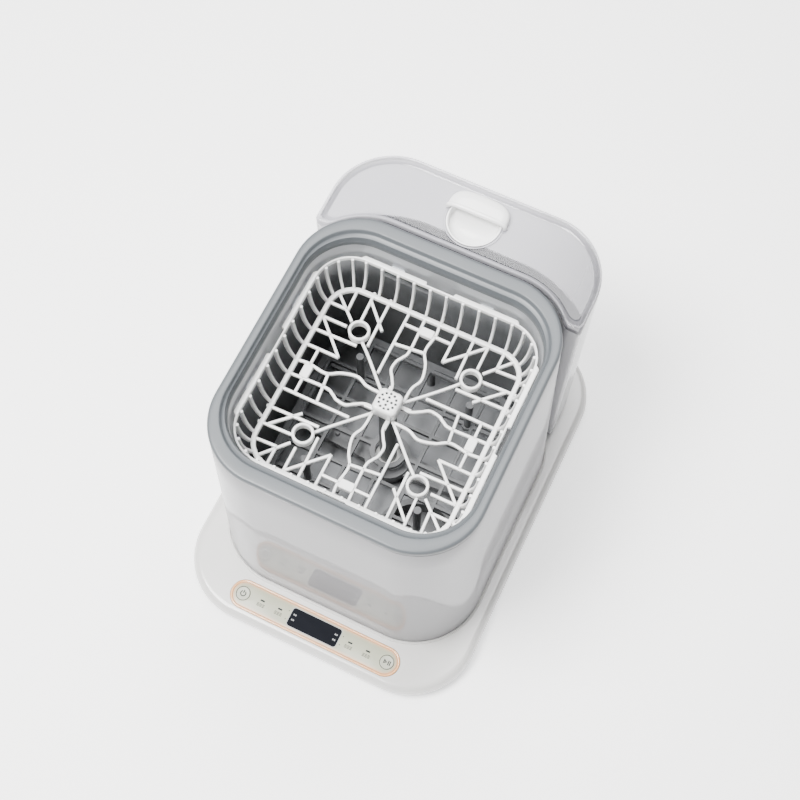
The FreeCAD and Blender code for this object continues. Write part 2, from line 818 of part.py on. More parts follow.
def radial_pipe(name, diameter, start, length):
    """Level pipe from the tub's middle towards the sump."""
    item = doc.addObject("Part::Cylinder", name)
    item.setExpression("Radius", bound(f"({diameter}) / 2"))
    item.setExpression("Height", bound(length))
    turn = FreeCAD.Rotation(*feed_turn).multiply(FreeCAD.Rotation(Vector(0, 1, 0), 90))
    item.Placement = FreeCAD.Placement(Vector(), turn)
    reach = math.hypot(size("sump_x"), size("sump_y"))
    along = (size("sump_x") / reach, size("sump_y") / reach)
    place(item, f"{along[0]} * ({start})", f"body_centre + {along[1]} * ({start})", PIPE_Z)
    return item


feed_bore = radial_pipe("sump_outlet", "riser_bore", "volute_diameter / 2",
                        f"{feed_length} + 2 * sump_wall")
node(carve("sump_cup", join("sump_solid", cup, cup_rim), cup_room, feed_bore))

feed_outside = radial_pipe("feed_outside", "riser_diameter", "volute_diameter / 2 + fit_gap / 10",
                           f"{feed_length} - sump_wall - fit_gap / 5")
feed_inside = radial_pipe("feed_inside", "riser_bore", "volute_diameter / 2 - sump_wall",
                          f"{feed_length} + 2 * sump_wall")
node(carve("pump_feed_pipe", feed_outside, feed_inside))


# Solids worked out from the sizes with plain geometry

def tube_solid(x, y, z, diameter, height):
    """Upright cylinder centred on (x, y)."""
    return Part.makeCylinder(diameter / 2, height, Vector(x, y, z))


def bar_solid(x, y, z, length, width, height, turn=0.0):
    """Box centred on (x, y) that starts at height z, turned about its own middle."""
    bar = Part.makeBox(length, width, height, Vector(-length / 2, -width / 2, 0))
    bar.rotate(Vector(), Vector(0, 0, 1), turn)
    bar.translate(Vector(x, y, z))
    return bar


def rib_solid(start, end, z, width, height):
    """Level rib between two points, run on by half its width at both ends."""
    run = math.dist(start, end)
    turn = math.degrees(math.atan2(end[1] - start[1], end[0] - start[0]))
    middle_x = (start[0] + end[0]) / 2
    middle_y = (start[1] + end[1]) / 2
    return bar_solid(middle_x, middle_y, z, run + width, width, height, turn)


def rounded_solid(half_x, half_y, radius, z, height):
    """Upright prism on a rounded rectangle about the origin."""
    prism = Part.makeBox(2 * half_x, 2 * half_y, height, Vector(-half_x, -half_y, z))
    upright = [edge for edge in prism.Edges if edge.BoundBox.ZLength > height / 2]
    return prism.makeFillet(radius, upright)


def ring_solid(half_x, half_y, radius, band, z, height):
    """Level band that follows a rounded rectangle."""
    outside = rounded_solid(half_x, half_y, radius, z, height)
    return outside.cut(rounded_solid(half_x - band, half_y - band, radius - band, z, height))


def around(count, solid, x=0.0, y=0.0):
    """Copies of a solid, evenly turned about an upright axis."""
    copies = []
    for number in range(count):
        copy = solid.copy()
        copy.rotate(Vector(x, y, 0), Vector(0, 0, 1), 360.0 * number / count)
        copies.append(copy)
    return copies


def merged(first, *rest):
    """One solid from several that meet."""
    return first.multiFuse(list(rest)).removeSplitter()


def moved(solid, x, y, z=0.0):
    """Copy of a solid, shifted."""
    copy = solid.copy()
    copy.translate(Vector(x, y, z))
    return copy


MIDDLE = size("body_centre")
GAP = size("moving_gap")
FIT = size("fit_gap")
PAN_TOP = "(pan_bottom + pan_floor)"
STANDING = worth(PAN_TOP)


FILTER_SLOTS = 6


def sump_filter():
    """Perforated cup that hangs in the sump by its lip and turns to unlock."""
    x = size("sump_x")
    y = MIDDLE + size("sump_y")
    wall = size("tub_wall")
    outside = size("sump_diameter") - 6 * GAP
    bottom = size("sump_bottom") + size("sump_wall") + 4 * GAP
    lip_z = size("tub_floor") + GAP
    cup_solid = tube_solid(x, y, bottom, outside, lip_z - bottom + wall)
    lip = tube_solid(x, y, lip_z, size("sump_diameter") + 3 * size("sump_wall"), wall)
    room = tube_solid(x, y, bottom + wall, outside - 2 * wall, lip_z - bottom + wall)
    slot_height = lip_z - bottom - 6 * wall
    slot = bar_solid(x, y, bottom + 3 * wall, outside + wall, 2 * wall, slot_height)
    slots = merged(*around(2 * FILTER_SLOTS, slot, x, y)[:FILTER_SLOTS])
    grip = bar_solid(x, y, lip_z - 4 * wall, outside - wall, 2 * wall, 8 * wall)
    return merged(cup_solid, lip).cut(room).cut(slots).fuse(grip).removeSplitter()


node(shaped("sump_filter", sump_filter()))


# Riser, spray arm and wash pump, all on the middle axis of the tub

riser_tube = rod("riser_tube", "0", "body_centre", "volute_top", "riser_diameter", "riser_top - volute_top")
riser_seat = rod("riser_seat", "0", "body_centre", "tub_floor", "riser_flange",
                 "arm_bottom - tub_floor - bush_height - 2 * moving_gap")
riser_room = rod("riser_room", "0", "body_centre", "volute_top - fit_gap", "riser_bore",
                 "riser_top - volute_top + 2 * fit_gap")
node(carve("riser_pipe", join("riser_solid", riser_tube, riser_seat), riser_room))


def bush(name, z):
    """Plain washer round the riser."""
    outside = rod(name + "_outside", "0", "body_centre", z, "bush_diameter", "bush_height")
    hole = rod(name + "_hole", "0", "body_centre", z, "riser_diameter", "bush_height")
    return carve(name, outside, hole)


node(bush("arm_bearing", "arm_bottom - moving_gap - bush_height"))
node(bush("arm_retainer", "arm_bottom + arm_height + moving_gap"))


def spray_arm():
    """Flat two-armed spray bar with a bored hub and a row of jets on each arm."""
    z = size("arm_bottom")
    high = size("wing_height")
    reach = size("arm_reach")
    root = size("arm_root") / 2
    tip = size("arm_tip") / 2
    end_x = reach - tip
    corners = [Vector(0, -root, z), Vector(end_x, -tip, z), Vector(end_x, tip, z), Vector(0, root, z)]
    wing = Part.Face(Part.makePolygon(corners + corners[:1])).extrude(Vector(0, 0, high))
    end = tube_solid(end_x, 0, z, 2 * tip, high)
    jet = size("jet_diameter") / 2
    jet_height = size("arm_height") - high
    jets = []
    for step in range(4):
        x = end_x - step * size("jet_pitch")
        jets.append(Part.makeCone(jet, 0.6 * jet, jet_height, Vector(x, 0, z + high)))
    half = merged(wing, end, *jets)
    hub = tube_solid(0, 0, z, size("arm_hub"), size("arm_height"))
    bore = tube_solid(0, 0, z, size("riser_diameter") + 2 * size("bearing_fit"), size("arm_height"))
    return moved(merged(hub, *around(2, half)).cut(bore), 0, MIDDLE)


node(shaped("spray_arm", spray_arm()))

volute_outside = rod("volute_outside", "0", "body_centre", "volute_bottom", "volute_diameter",
                     "volute_top - volute_bottom")
volute_room = rod("volute_room", "0", "body_centre", "volute_bottom + volute_wall",
                  "volute_diameter - 2 * volute_wall", "volute_top - volute_bottom - 2 * volute_wall")
volute_mouth = rod("volute_mouth", "0", "body_centre", "volute_bottom - fit_gap",
                   "shaft_diameter + 2 * bearing_fit", "2 * volute_wall")
volute_exit = rod("volute_exit", "0", "body_centre", "volute_top - 2 * volute_wall", "riser_bore",
                  "3 * volute_wall")
volute_inlet = radial_pipe("volute_inlet", "riser_bore", "volute_diameter / 2 - 2 * volute_wall",
                           "3 * volute_wall")
node(carve("pump_volute", volute_outside, volute_room, volute_mouth, volute_exit, volute_inlet))

motor_can = rod("motor_can", "0", "body_centre", PAN_TOP, "motor_diameter", f"volute_bottom - {PAN_TOP}")
motor_bore = rod("motor_bore", "0", "body_centre", f"{PAN_TOP} + volute_wall",
                 "shaft_diameter + 2 * bearing_fit", f"volute_bottom - {PAN_TOP}")
node(carve("wash_motor", motor_can, motor_bore))


# Blades of the wheels, and how far a pump blade sweeps back in degrees
WASH_BLADES = 6
DRAIN_BLADES = 4
BLOWER_BLADES = 20
BLADE_SWEEP = 18
BLOWER_SWEEP = 30


def impeller(x, y, z, diameter, height, hub, blades, shaft_bottom):
    """Disc with upright swept blades on a hub, and the shaft that turns it."""
    shaft = size("shaft_diameter")
    plate = tube_solid(x, y, z, diameter, height / 5)
    boss = tube_solid(x, y, z, hub, height)
    spindle = tube_solid(x, y, shaft_bottom, shaft, z - shaft_bottom + height / 2)
    length = (diameter - hub) / 2
    blade = bar_solid((hub + length) / 2, 0, z, length, height / 8, height)
    blade.rotate(Vector(hub / 2, 0, 0), Vector(0, 0, 1), BLADE_SWEEP)
    return merged(plate, boss, spindle, *around(blades, moved(blade, x, y), x, y))


node(shaped("pump_impeller", impeller(
    0, MIDDLE, size("volute_bottom") + size("volute_wall") + 2 * GAP, size("impeller_diameter"),
    size("impeller_height"), 3 * size("shaft_diameter"), WASH_BLADES, STANDING + size("volute_wall") + GAP)))


# Where the heater's loop starts and how far it goes round, in degrees
HEATER_START = 15
HEATER_SWEEP = 250


def wash_heater():
    """Sheathed element in an open loop under the tub floor, with its two cold ends turned down."""
    tube = size("heater_tube")
    ring = size("heater_outer") / 2
    z = size("tub_floor") - size("tub_wall") - tube / 2
    start = HEATER_START
    sweep = HEATER_SWEEP
    loop = Part.makeTorus(ring, tube / 2, Vector(0, 0, 0), Vector(0, 0, 1), -180, 180, sweep)
    loop.rotate(Vector(), Vector(0, 0, 1), start)
    loop.translate(Vector(0, MIDDLE, z))
    pieces = []
    for angle in (start, start + sweep):
        x = ring * math.cos(math.radians(angle))
        y = MIDDLE + ring * math.sin(math.radians(angle))
        pieces.append(tube_solid(x, y, z - tube, tube, tube))
        pieces.append(Part.makeSphere(tube / 2, Vector(x, y, z)))
    return merged(loop, *pieces)


node(shaped("wash_heater", wash_heater()))
node(rod("water_sensor", "-sump_x", "body_centre + sump_y", "tub_floor - tub_wall - sensor_length",
         "sensor_diameter", "sensor_length"))


# Drain pump, its hose and the outlet at the rear

drain_can = rod("drain_can", "drain_pump_x", "drain_pump_y", PAN_TOP, "drain_pump_diameter",
                f"drain_pump_top - {PAN_TOP}")
drain_room = rod("drain_room", "drain_pump_x", "drain_pump_y", "drain_pump_top - 5 * volute_wall",
                 "drain_pump_diameter - 2 * volute_wall", "4 * volute_wall")
node(carve("drain_pump", drain_can, drain_room))
DRAIN_ROOM = worth("drain_pump_top - 5 * volute_wall")
node(shaped("drain_impeller", impeller(
    size("drain_pump_x"), size("drain_pump_y"), DRAIN_ROOM + 2 * GAP,
    worth("drain_pump_diameter - 4 * volute_wall"), 2 * size("volute_wall"), 2 * size("shaft_diameter"),
    DRAIN_BLADES, DRAIN_ROOM + GAP)))


def bent_hose(points, diameter):
    """Round hose along straight runs joined by arcs as large as the runs allow."""
    places = [Vector(*point) for point in points]
    edges = []
    start = places[0]
    for before, corner, after in zip(places, places[1:], places[2:]):
        inward = (before - corner).normalize()
        outward = (after - corner).normalize()
        half_turn = (math.pi - inward.getAngle(outward)) / 2
        trim = 0.45 * min((before - corner).Length, (after - corner).Length)
        radius = trim / math.tan(half_turn)
        first = corner + inward * trim
        last = corner + outward * trim
        middle = corner + (inward + outward).normalize() * (radius / math.cos(half_turn) - radius)
        edges.append(Part.LineSegment(start, first).toShape())
        edges.append(Part.Arc(first, middle, last).toShape())
        start = last
    edges.append(Part.LineSegment(start, places[-1]).toShape())
    direction = (places[1] - places[0]).normalize()
    section = Part.Wire([Part.makeCircle(diameter / 2, places[0], direction)])
    return Part.Wire(edges).makePipeShell([section], True, False, 2)


HOSE_Z = worth(PORT_Z)
HOSE_LEAN = 0.72
HOSE_RETURN = 0.3
INNER_END = worth("base_depth / 2 - 3 * skirt_wall - 2 * pan_wall")


def drain_hose():
    """Hose from the side of the drain pump, along the wall of the base, to the outlet."""
    x = size("drain_pump_x") + size("drain_pump_diameter") / 2
    y = size("drain_pump_y")
    port_x = size("drain_port_x")
    thick = size("hose_diameter")
    wall_x = worth(f"{HALF_BASE} - 2 * skirt_wall - 2 * pan_wall - hose_diameter / 2 - hose_gap")
    bend_x = x + (wall_x - x) * HOSE_LEAN
    points = [
        (x, y, HOSE_Z),
        (bend_x, y + 1.2 * thick, HOSE_Z),
        (wall_x, y + 4.5 * thick, HOSE_Z),
        (bend_x, y + 9.5 * thick, HOSE_Z),
        (port_x + (wall_x - port_x) * HOSE_RETURN, INNER_END - 6 * thick, HOSE_Z),
        (port_x, INNER_END - 3 * thick, HOSE_Z),
        (port_x, INNER_END, HOSE_Z),
    ]
    return bent_hose(points, thick)


node(shaped("drain_hose", drain_hose()))
PORT_LENGTH = "(3 * skirt_wall + 2 * pan_wall)"
port_outside = rod("port_outside", "drain_port_x", END_BASE, PORT_Z,
                   "drain_port_diameter - 2 * fit_gap", PORT_LENGTH, (Vector(1, 0, 0), 90))
port_bore = rod("port_bore", "drain_port_x", END_BASE, PORT_Z,
                "drain_port_bore", f"{PORT_LENGTH} - skirt_wall", (Vector(1, 0, 0), 90))
node(carve("drain_port", port_outside, port_bore))


# Drying air: blower, heater, duct and the filter drawer

BLOWER = ("blower_x", "blower_y")
OUTLET_X = "(blower_x + blower_diameter / 2 - outlet_width / 2)"
HEATER_Y = f"({AIR_PORT_Y} + tub_wall + fit_gap + duct_depth - heater_box_depth)"
blower_drum = rod("blower_drum", *BLOWER, "blower_bottom", "blower_diameter", "blower_top - blower_bottom")
blower_spout = block("blower_spout", f"{OUTLET_X} - outlet_width / 2", "blower_y", "blower_bottom",
                     "outlet_width", f"{HEATER_Y} - blower_y", "blower_top - blower_bottom")
blower_room = rod("blower_room", *BLOWER, "blower_bottom + blower_wall",
                  "blower_diameter - 2 * blower_wall", "blower_top - blower_bottom - 2 * blower_wall")
spout_room = block("spout_room", f"{OUTLET_X} - outlet_width / 2 + blower_wall", "blower_y",
                   "blower_bottom + blower_wall", "outlet_width - 2 * blower_wall",
                   f"{HEATER_Y} - blower_y + blower_wall", "blower_top - blower_bottom - 2 * blower_wall")
blower_eye = rod("blower_eye_hole", *BLOWER, "blower_top - 2 * blower_wall", "blower_eye", "3 * blower_wall")
blower_mouth = rod("blower_mouth", *BLOWER, "blower_bottom - blower_wall",
                   "shaft_diameter + 2 * bearing_fit", "3 * blower_wall")
node(carve("blower_housing", join("blower_solid", blower_drum, blower_spout), blower_room, spout_room,
           blower_eye, blower_mouth))


def blower_wheel():
    """Drum of short forward-curved blades on a disc, with its hub and shaft."""
    x = size("blower_x")
    y = size("blower_y")
    z = size("blower_bottom") + size("blower_wall") + 3 * GAP
    wide = size("wheel_diameter")
    high = size("wheel_height")
    thick = size("duct_wall")
    blade_length = 4 * thick
    blade = bar_solid(wide / 2 - 0.6 * blade_length, 0, z, blade_length, thick, high, 0)
    blade.rotate(Vector(wide / 2 - 0.6 * blade_length, 0, 0), Vector(0, 0, 1),
                 BLOWER_SWEEP)
    blades = around(BLOWER_BLADES, moved(blade, x, y), x, y)
    plate = tube_solid(x, y, z, wide, thick)
    hub = tube_solid(x, y, z, size("wheel_hub"), high)
    start = STANDING + size("blower_wall") + GAP
    shaft = tube_solid(x, y, start, size("shaft_diameter"), z - start + thick)
    return merged(plate, hub, shaft, *blades)


node(shaped("blower_wheel", blower_wheel()))
blower_can = rod("blower_can", *BLOWER, PAN_TOP, "blower_motor_diameter", f"blower_bottom - {PAN_TOP}")
blower_bore = rod("blower_bore", *BLOWER, f"{PAN_TOP} + blower_wall", "shaft_diameter + 2 * bearing_fit",
                  f"blower_bottom - {PAN_TOP}")
node(carve("blower_motor", blower_can, blower_bore))

heater_box = block("heater_box", "duct_x - duct_width / 2", HEATER_Y, "blower_bottom", "duct_width",
                   "heater_box_depth", "duct_bottom - blower_bottom")
heater_room = block("heater_room", "duct_x - duct_width / 2 + duct_wall", f"{HEATER_Y} + duct_wall",
                    "blower_bottom + duct_wall", "duct_width - 2 * duct_wall",
                    "heater_box_depth - 2 * duct_wall", "duct_bottom - blower_bottom")
heater_mouth = block("heater_mouth", f"{OUTLET_X} - outlet_width / 2 + blower_wall",
                     f"{HEATER_Y} - duct_wall",
                     "blower_bottom + blower_wall", "outlet_width - 2 * blower_wall", "3 * duct_wall",
                     "blower_top - blower_bottom - 2 * blower_wall")
fins = []
for number in range(round((size("duct_width") - 2 * size("fin_pitch")) / size("fin_pitch"))):
    fins.append(block(f"heater_fin_{number}", f"duct_x - duct_width / 2 + {number + 1} * fin_pitch",
                      f"{HEATER_Y} + duct_wall / 2", "blower_bottom + duct_wall / 2", "fin_thickness",
                      "heater_box_depth - duct_wall", "(duct_bottom - blower_bottom) / 2"))
heater_shell = carve("heater_shell", heater_box, heater_room, heater_mouth)
node(join("drying_heater", heater_shell, *fins))

DUCT_Y = f"({AIR_PORT_Y} + tub_wall + fit_gap)"
duct_outside = block("duct_outside", "duct_x - duct_width / 2", DUCT_Y, "duct_bottom", "duct_width",
                     "duct_depth", "duct_top - duct_bottom")
duct_room = block("duct_room", "duct_x - duct_width / 2 + duct_wall", f"{DUCT_Y} + duct_wall",
                  "duct_bottom - duct_wall", "duct_width - 2 * duct_wall", "duct_depth - 2 * duct_wall",
                  "duct_top - duct_bottom")
duct_window = centred_block("duct_window", "duct_x", DUCT_Y, "air_port_z - air_port_height / 2",
                            "air_port_width", "4 * duct_wall", "air_port_height")
node(carve("air_duct", duct_outside, duct_room, duct_window))

DRAWER_FRONT = f"({END_BASE} - drawer_depth)"
drawer_form = block("drawer_form", "drawer_x - drawer_width / 2", DRAWER_FRONT, "drawer_bottom",
                    "drawer_width", "drawer_depth", "drawer_height")
drawer_room = block("drawer_room", "drawer_x - drawer_width / 2 + drawer_wall",
                    f"{DRAWER_FRONT} + drawer_wall", "drawer_bottom + drawer_wall",
                    "drawer_width - 2 * drawer_wall", "drawer_depth - 3 * drawer_wall", "drawer_height")
DRAWER_SLOTS = 6
drawer_slots = []
for number in range(1, DRAWER_SLOTS + 1):
    drawer_slots.append(block(f"drawer_slot_{number}",
                              f"drawer_x - drawer_wall + drawer_width * {number / (DRAWER_SLOTS + 1) - 0.5}",
                              f"{END_BASE} - 4 * drawer_wall", "drawer_bottom + 1.5 * drawer_wall",
                              "2 * drawer_wall", "6 * drawer_wall", "drawer_height - 3 * drawer_wall"))
node(carve("air_filter_drawer", drawer_form, drawer_room, *drawer_slots))
node(block("air_filter_pad", "drawer_x - drawer_width / 2 + drawer_wall + fit_gap",
           f"{DRAWER_FRONT} + drawer_wall + fit_gap", "drawer_bottom + drawer_wall",
           "drawer_width - 2 * drawer_wall - 2 * fit_gap", "drawer_depth - 3 * drawer_wall - 2 * fit_gap",
           "drawer_height - 2 * drawer_wall"))


# Electrics: control board under its cover, and the mains inlet

def control_board():
    """Printed board on four pillars with its taller parts."""
    x = size("main_board_x")
    y = size("main_board_y")
    long = size("main_board_length") - 2 * size("board_box_wall") - 2 * FIT
    wide = size("main_board_width") - 2 * size("board_box_wall") - 2 * FIT
    z = size("main_board_z")
    thick = size("board_thickness")
    pieces = []
    pillar = size("stem_diameter")
    for side_x in (-1, 1):
        for side_y in (-1, 1):
            pillar_x = x + side_x * (long / 2 - pillar)
            pillar_y = y + side_y * (wide / 2 - pillar)
            pieces.append(tube_solid(pillar_x, pillar_y, STANDING, pillar, z - STANDING))
    room = STANDING + size("board_box_height") - size("board_box_wall") - z - thick - 2 * GAP
    pieces.append(tube_solid(x + 0.34 * long, y + 0.2 * wide, z + thick, 0.16 * long, room))
    pieces.append(bar_solid(x, y + 0.25 * wide, z + thick, 0.25 * long, 0.3 * wide, 0.7 * room))
    pieces.append(bar_solid(x - 0.32 * long, y, z + thick, 0.2 * long, 0.5 * wide, 0.5 * room))
    pieces.append(bar_solid(x + 0.1 * long, y - 0.3 * wide, z + thick, 0.5 * long, 0.18 * wide, 0.4 * room))
    return merged(bar_solid(x, y, z, long, wide, thick), *pieces)


node(shaped("control_board", control_board()))
box_outside = centred_block("box_outside", "main_board_x", "main_board_y", PAN_TOP, "main_board_length",
                            "main_board_width", "board_box_height")
box_room = centred_block("box_room", "main_board_x", "main_board_y", f"{PAN_TOP} - board_box_wall",
                         "main_board_length - 2 * board_box_wall", "main_board_width - 2 * board_box_wall",
                         "board_box_height")
node(carve("board_cover", box_outside, box_room))

inlet_shell = block("inlet_shell", "inlet_x - inlet_width / 2", f"{END_BASE} - inlet_depth", "inlet_bottom",
                    "inlet_width", "inlet_depth", "inlet_height")
inlet_room = block("inlet_room", "inlet_x - inlet_width / 2 + inlet_wall",
                   f"{END_BASE} - inlet_depth + 3 * inlet_wall", "inlet_bottom + inlet_wall",
                   "inlet_width - 2 * inlet_wall", "inlet_depth", "inlet_height - 2 * inlet_wall")
inlet_pins = []
for number, way in enumerate(("-", "+")):
    inlet_pins.append(rod(f"inlet_pin_{number}", f"inlet_x {way} inlet_width / 5", f"{END_BASE} - inlet_wall",
                          "inlet_bottom + inlet_height / 2", "inlet_wall",
                          "inlet_depth - 2 * inlet_wall", (Vector(1, 0, 0), 90)))
node(join("power_inlet", carve("inlet_hollow", inlet_shell, inlet_room), *inlet_pins))


# Fresh water: dock on the deck, hose, pump and filling pipe

dock_ring = rod("dock_ring", "valve_x", "valve_y", "deck_top", "dock_diameter",
                "tank_bottom - fit_gap - deck_top")
dock_hub = rod("dock_hub", "valve_x", "valve_y", "deck_top - deck_plate - hose_diameter",
               "valve_bore + 2 * volute_wall", "hose_diameter + deck_plate")
dock_bore = rod("dock_bore", "valve_x", "valve_y", "deck_top - hose_diameter", "valve_bore",
                "deck_top + hose_diameter")
dock_pin = rod("dock_pin", "valve_x", "valve_y", "deck_top - deck_plate - hose_diameter / 2", "poppet_stem",
               "tank_bottom - fit_gap - deck_top + deck_plate + hose_diameter / 2")
pin_web = centred_block("dock_web", "valve_x", "valve_y", "deck_top - deck_plate - hose_diameter / 2",
                        "valve_bore + volute_wall", "poppet_stem / 2", "deck_plate")
dock_cup = carve("dock_cup", join("dock_solid", dock_ring, dock_hub), dock_bore)
node(join("tank_dock", dock_cup, dock_pin, pin_web))

PADS = (("-tank_width / 3", "valve_y - pad_diameter"), ("tank_width / 3", "valve_y - pad_diameter"),
        ("0", "valve_y + pad_diameter / 2"), ("-tank_width / 4", "valve_y + pad_diameter / 2"))
node(group("tank_pads", *[rod(f"tank_pad_{n}", x, y, "deck_top", "pad_diameter",
                              "tank_bottom - fit_gap - deck_top") for n, (x, y) in enumerate(PADS, 1)]))

FRESH = ("fresh_pump_x", "fresh_pump_y")
node(join("fresh_pump", rod("fresh_pump_can", *FRESH, PAN_TOP, "fresh_pump_diameter", "fresh_pump_height"),
          rod("fresh_pump_neck", *FRESH, f"{PAN_TOP} + fresh_pump_height", "fill_pipe + 2 * duct_wall",
              "hose_diameter / 2")))
fill_outside = rod("fill_outside", *FRESH, f"{PAN_TOP} + fresh_pump_height + hose_diameter / 2", "fill_pipe",
                   f"tub_floor - tub_wall - {PAN_TOP} - fresh_pump_height - hose_diameter / 2")
fill_inside = rod("fill_inside", *FRESH, f"{PAN_TOP} + fresh_pump_height", "fill_bore",
                  "tub_floor - pan_bottom")
node(carve("fill_pipe", fill_outside, fill_inside))


def fresh_hose():
    """Hose from the dock to the side of the fresh-water pump."""
    thick = size("hose_diameter")
    start_x = size("valve_x")
    start_y = size("valve_y") - worth("valve_bore / 2 + volute_wall")
    end_x = size("fresh_pump_x")
    end_y = size("fresh_pump_y") + size("fresh_pump_diameter") / 2
    z = worth("deck_top - deck_plate - hose_diameter / 2")
    points = [
        (start_x, start_y, z),
        (start_x + 0.1 * thick, start_y - 1.7 * thick, z),
        (start_x + 1.2 * thick, start_y - 3.4 * thick, z),
        (end_x - 0.5 * thick, end_y + 1.7 * thick, z),
        (end_x, end_y, z),
    ]
    return bent_hose(points, thick - 2 * FIT)


node(shaped("fresh_hose", fresh_hose()))


# Lower rack

def lower_rack():
    """Open grid on four legs."""
    half = worth(f"{TUB_HALF_X} - rack_gap")
    z = size("rack_floor_z")
    high = size("rack_height")
    rib = size("rack_rib")
    band = size("rack_band")
    pieces = []
    count = int((half - band) / size("rack_pitch"))
    outline = rounded_solid(half - band / 2, half - band / 2, size("rack_corner") - band / 2, z, high)
    for step in range(-count, count + 1):
        offset = step * size("rack_pitch")
        pieces.append(bar_solid(offset, 0, z, rib, 2 * half, high).common(outline))
        pieces.append(bar_solid(0, offset, z, 2 * half, rib, high).common(outline))
    spread = size("rack_post_spread")
    for x in (-spread, spread):
        for y in (-spread, spread):
            pieces.append(tube_solid(x, y, z, size("rack_post") + rib, high))
            pieces.append(rib_solid((x - size("rack_pitch"), y), (x + size("rack_pitch"), y), z, rib, high))
    foot = size("tub_floor") + FIT
    leg = tube_solid(size("rack_leg_spread"), 0, foot, size("rack_leg"), z - foot + high)
    pieces += around(4, leg)
    pieces.append(tube_solid(0, 0, z, size("rack_hub"), high))
    frame = ring_solid(half, half, size("rack_corner"), band, z, high)
    bore = tube_solid(0, 0, z, size("rack_bore"), high)
    return moved(merged(frame, *pieces).cut(bore).removeSplitter(), 0, MIDDLE)


node(shaped("lower_rack", lower_rack()))


def rack_posts():
    """Four upright posts on the grid that hold the bottles."""
    spread = size("rack_post_spread")
    low = worth("rack_floor_z + rack_height")
    post = tube_solid(spread, spread, low, size("rack_post"), worth("rack_post_height - rack_height"))
    return moved(Part.makeCompound(around(4, post)), 0, MIDDLE)


node(shaped("rack_posts", rack_posts()))


# Upper basket and the spray cap in its floor

CELL_RIBS = (
    ((-24, -66), (-24, -95)), ((22, -26), (22, -95)), ((-7, -61), (-7, -95)), ((7, -46), (7, -95)),
    ((-24, -78), (22, -78)), ((-7, -60), (22, -57)), ((6, -9), (6, -20)), ((6, -20), (13, -34)),
    ((13, -34), (7, -48)), ((-11, -11), (-15, -36)), ((-15, -36), (-7, -61)),
)
CORNER_RIBS = (
    ((-94, -42), (-45, -41)), ((-94, -58), (-62, -57)), ((-85, -57), (-63, -36)), ((-91, -73), (-69, -72)),
    ((-81, -87), (-60, -64)), ((-69, -72), (-69, -93)), ((-54, -66), (-54, -94)), ((-54, -89), (-24, -59)),
    ((-41, -50), (-40, -95)), ((-8, -8), (-47, -49)), ((-24, -59), (-24, -66)),
)


RIBS_EACH_WAY = 5


def wall_rib(depth):
    """One rib of the basket wall at the +Y side: upright under the rim, then curved in to the lower ring."""
    rim = size("basket_width") / 2 - size("basket_notch")
    foot = size("basket_foot_width") / 2
    low = size("basket_floor_z")
    top = size("basket_rim_z") - size("basket_rim_height")
    bend = low + 0.6 * (top - low)
    middle = low + 0.25 * (top - low)
    lean = 0.72 * (rim - foot)
    outer = [Vector(0, foot, low), Vector(0, foot + lean, middle), Vector(0, rim, bend), Vector(0, rim, top)]
    inner = [point - Vector(0, depth, 0) for point in outer]
    edges = [
        Part.Arc(*outer[:3]).toShape(),
        Part.makeLine(outer[2], outer[3]),
        Part.makeLine(outer[3], inner[3]),
        Part.makeLine(inner[3], inner[2]),
        Part.Arc(*inner[:3]).toShape(),
        Part.makeLine(inner[0], outer[0]),
    ]
    width = size("rib_width")
    rib = Part.Face(Part.Wire(Part.sortEdges(edges)[0])).extrude(Vector(width, 0, 0))
    return moved(rib, -width / 2, 0)


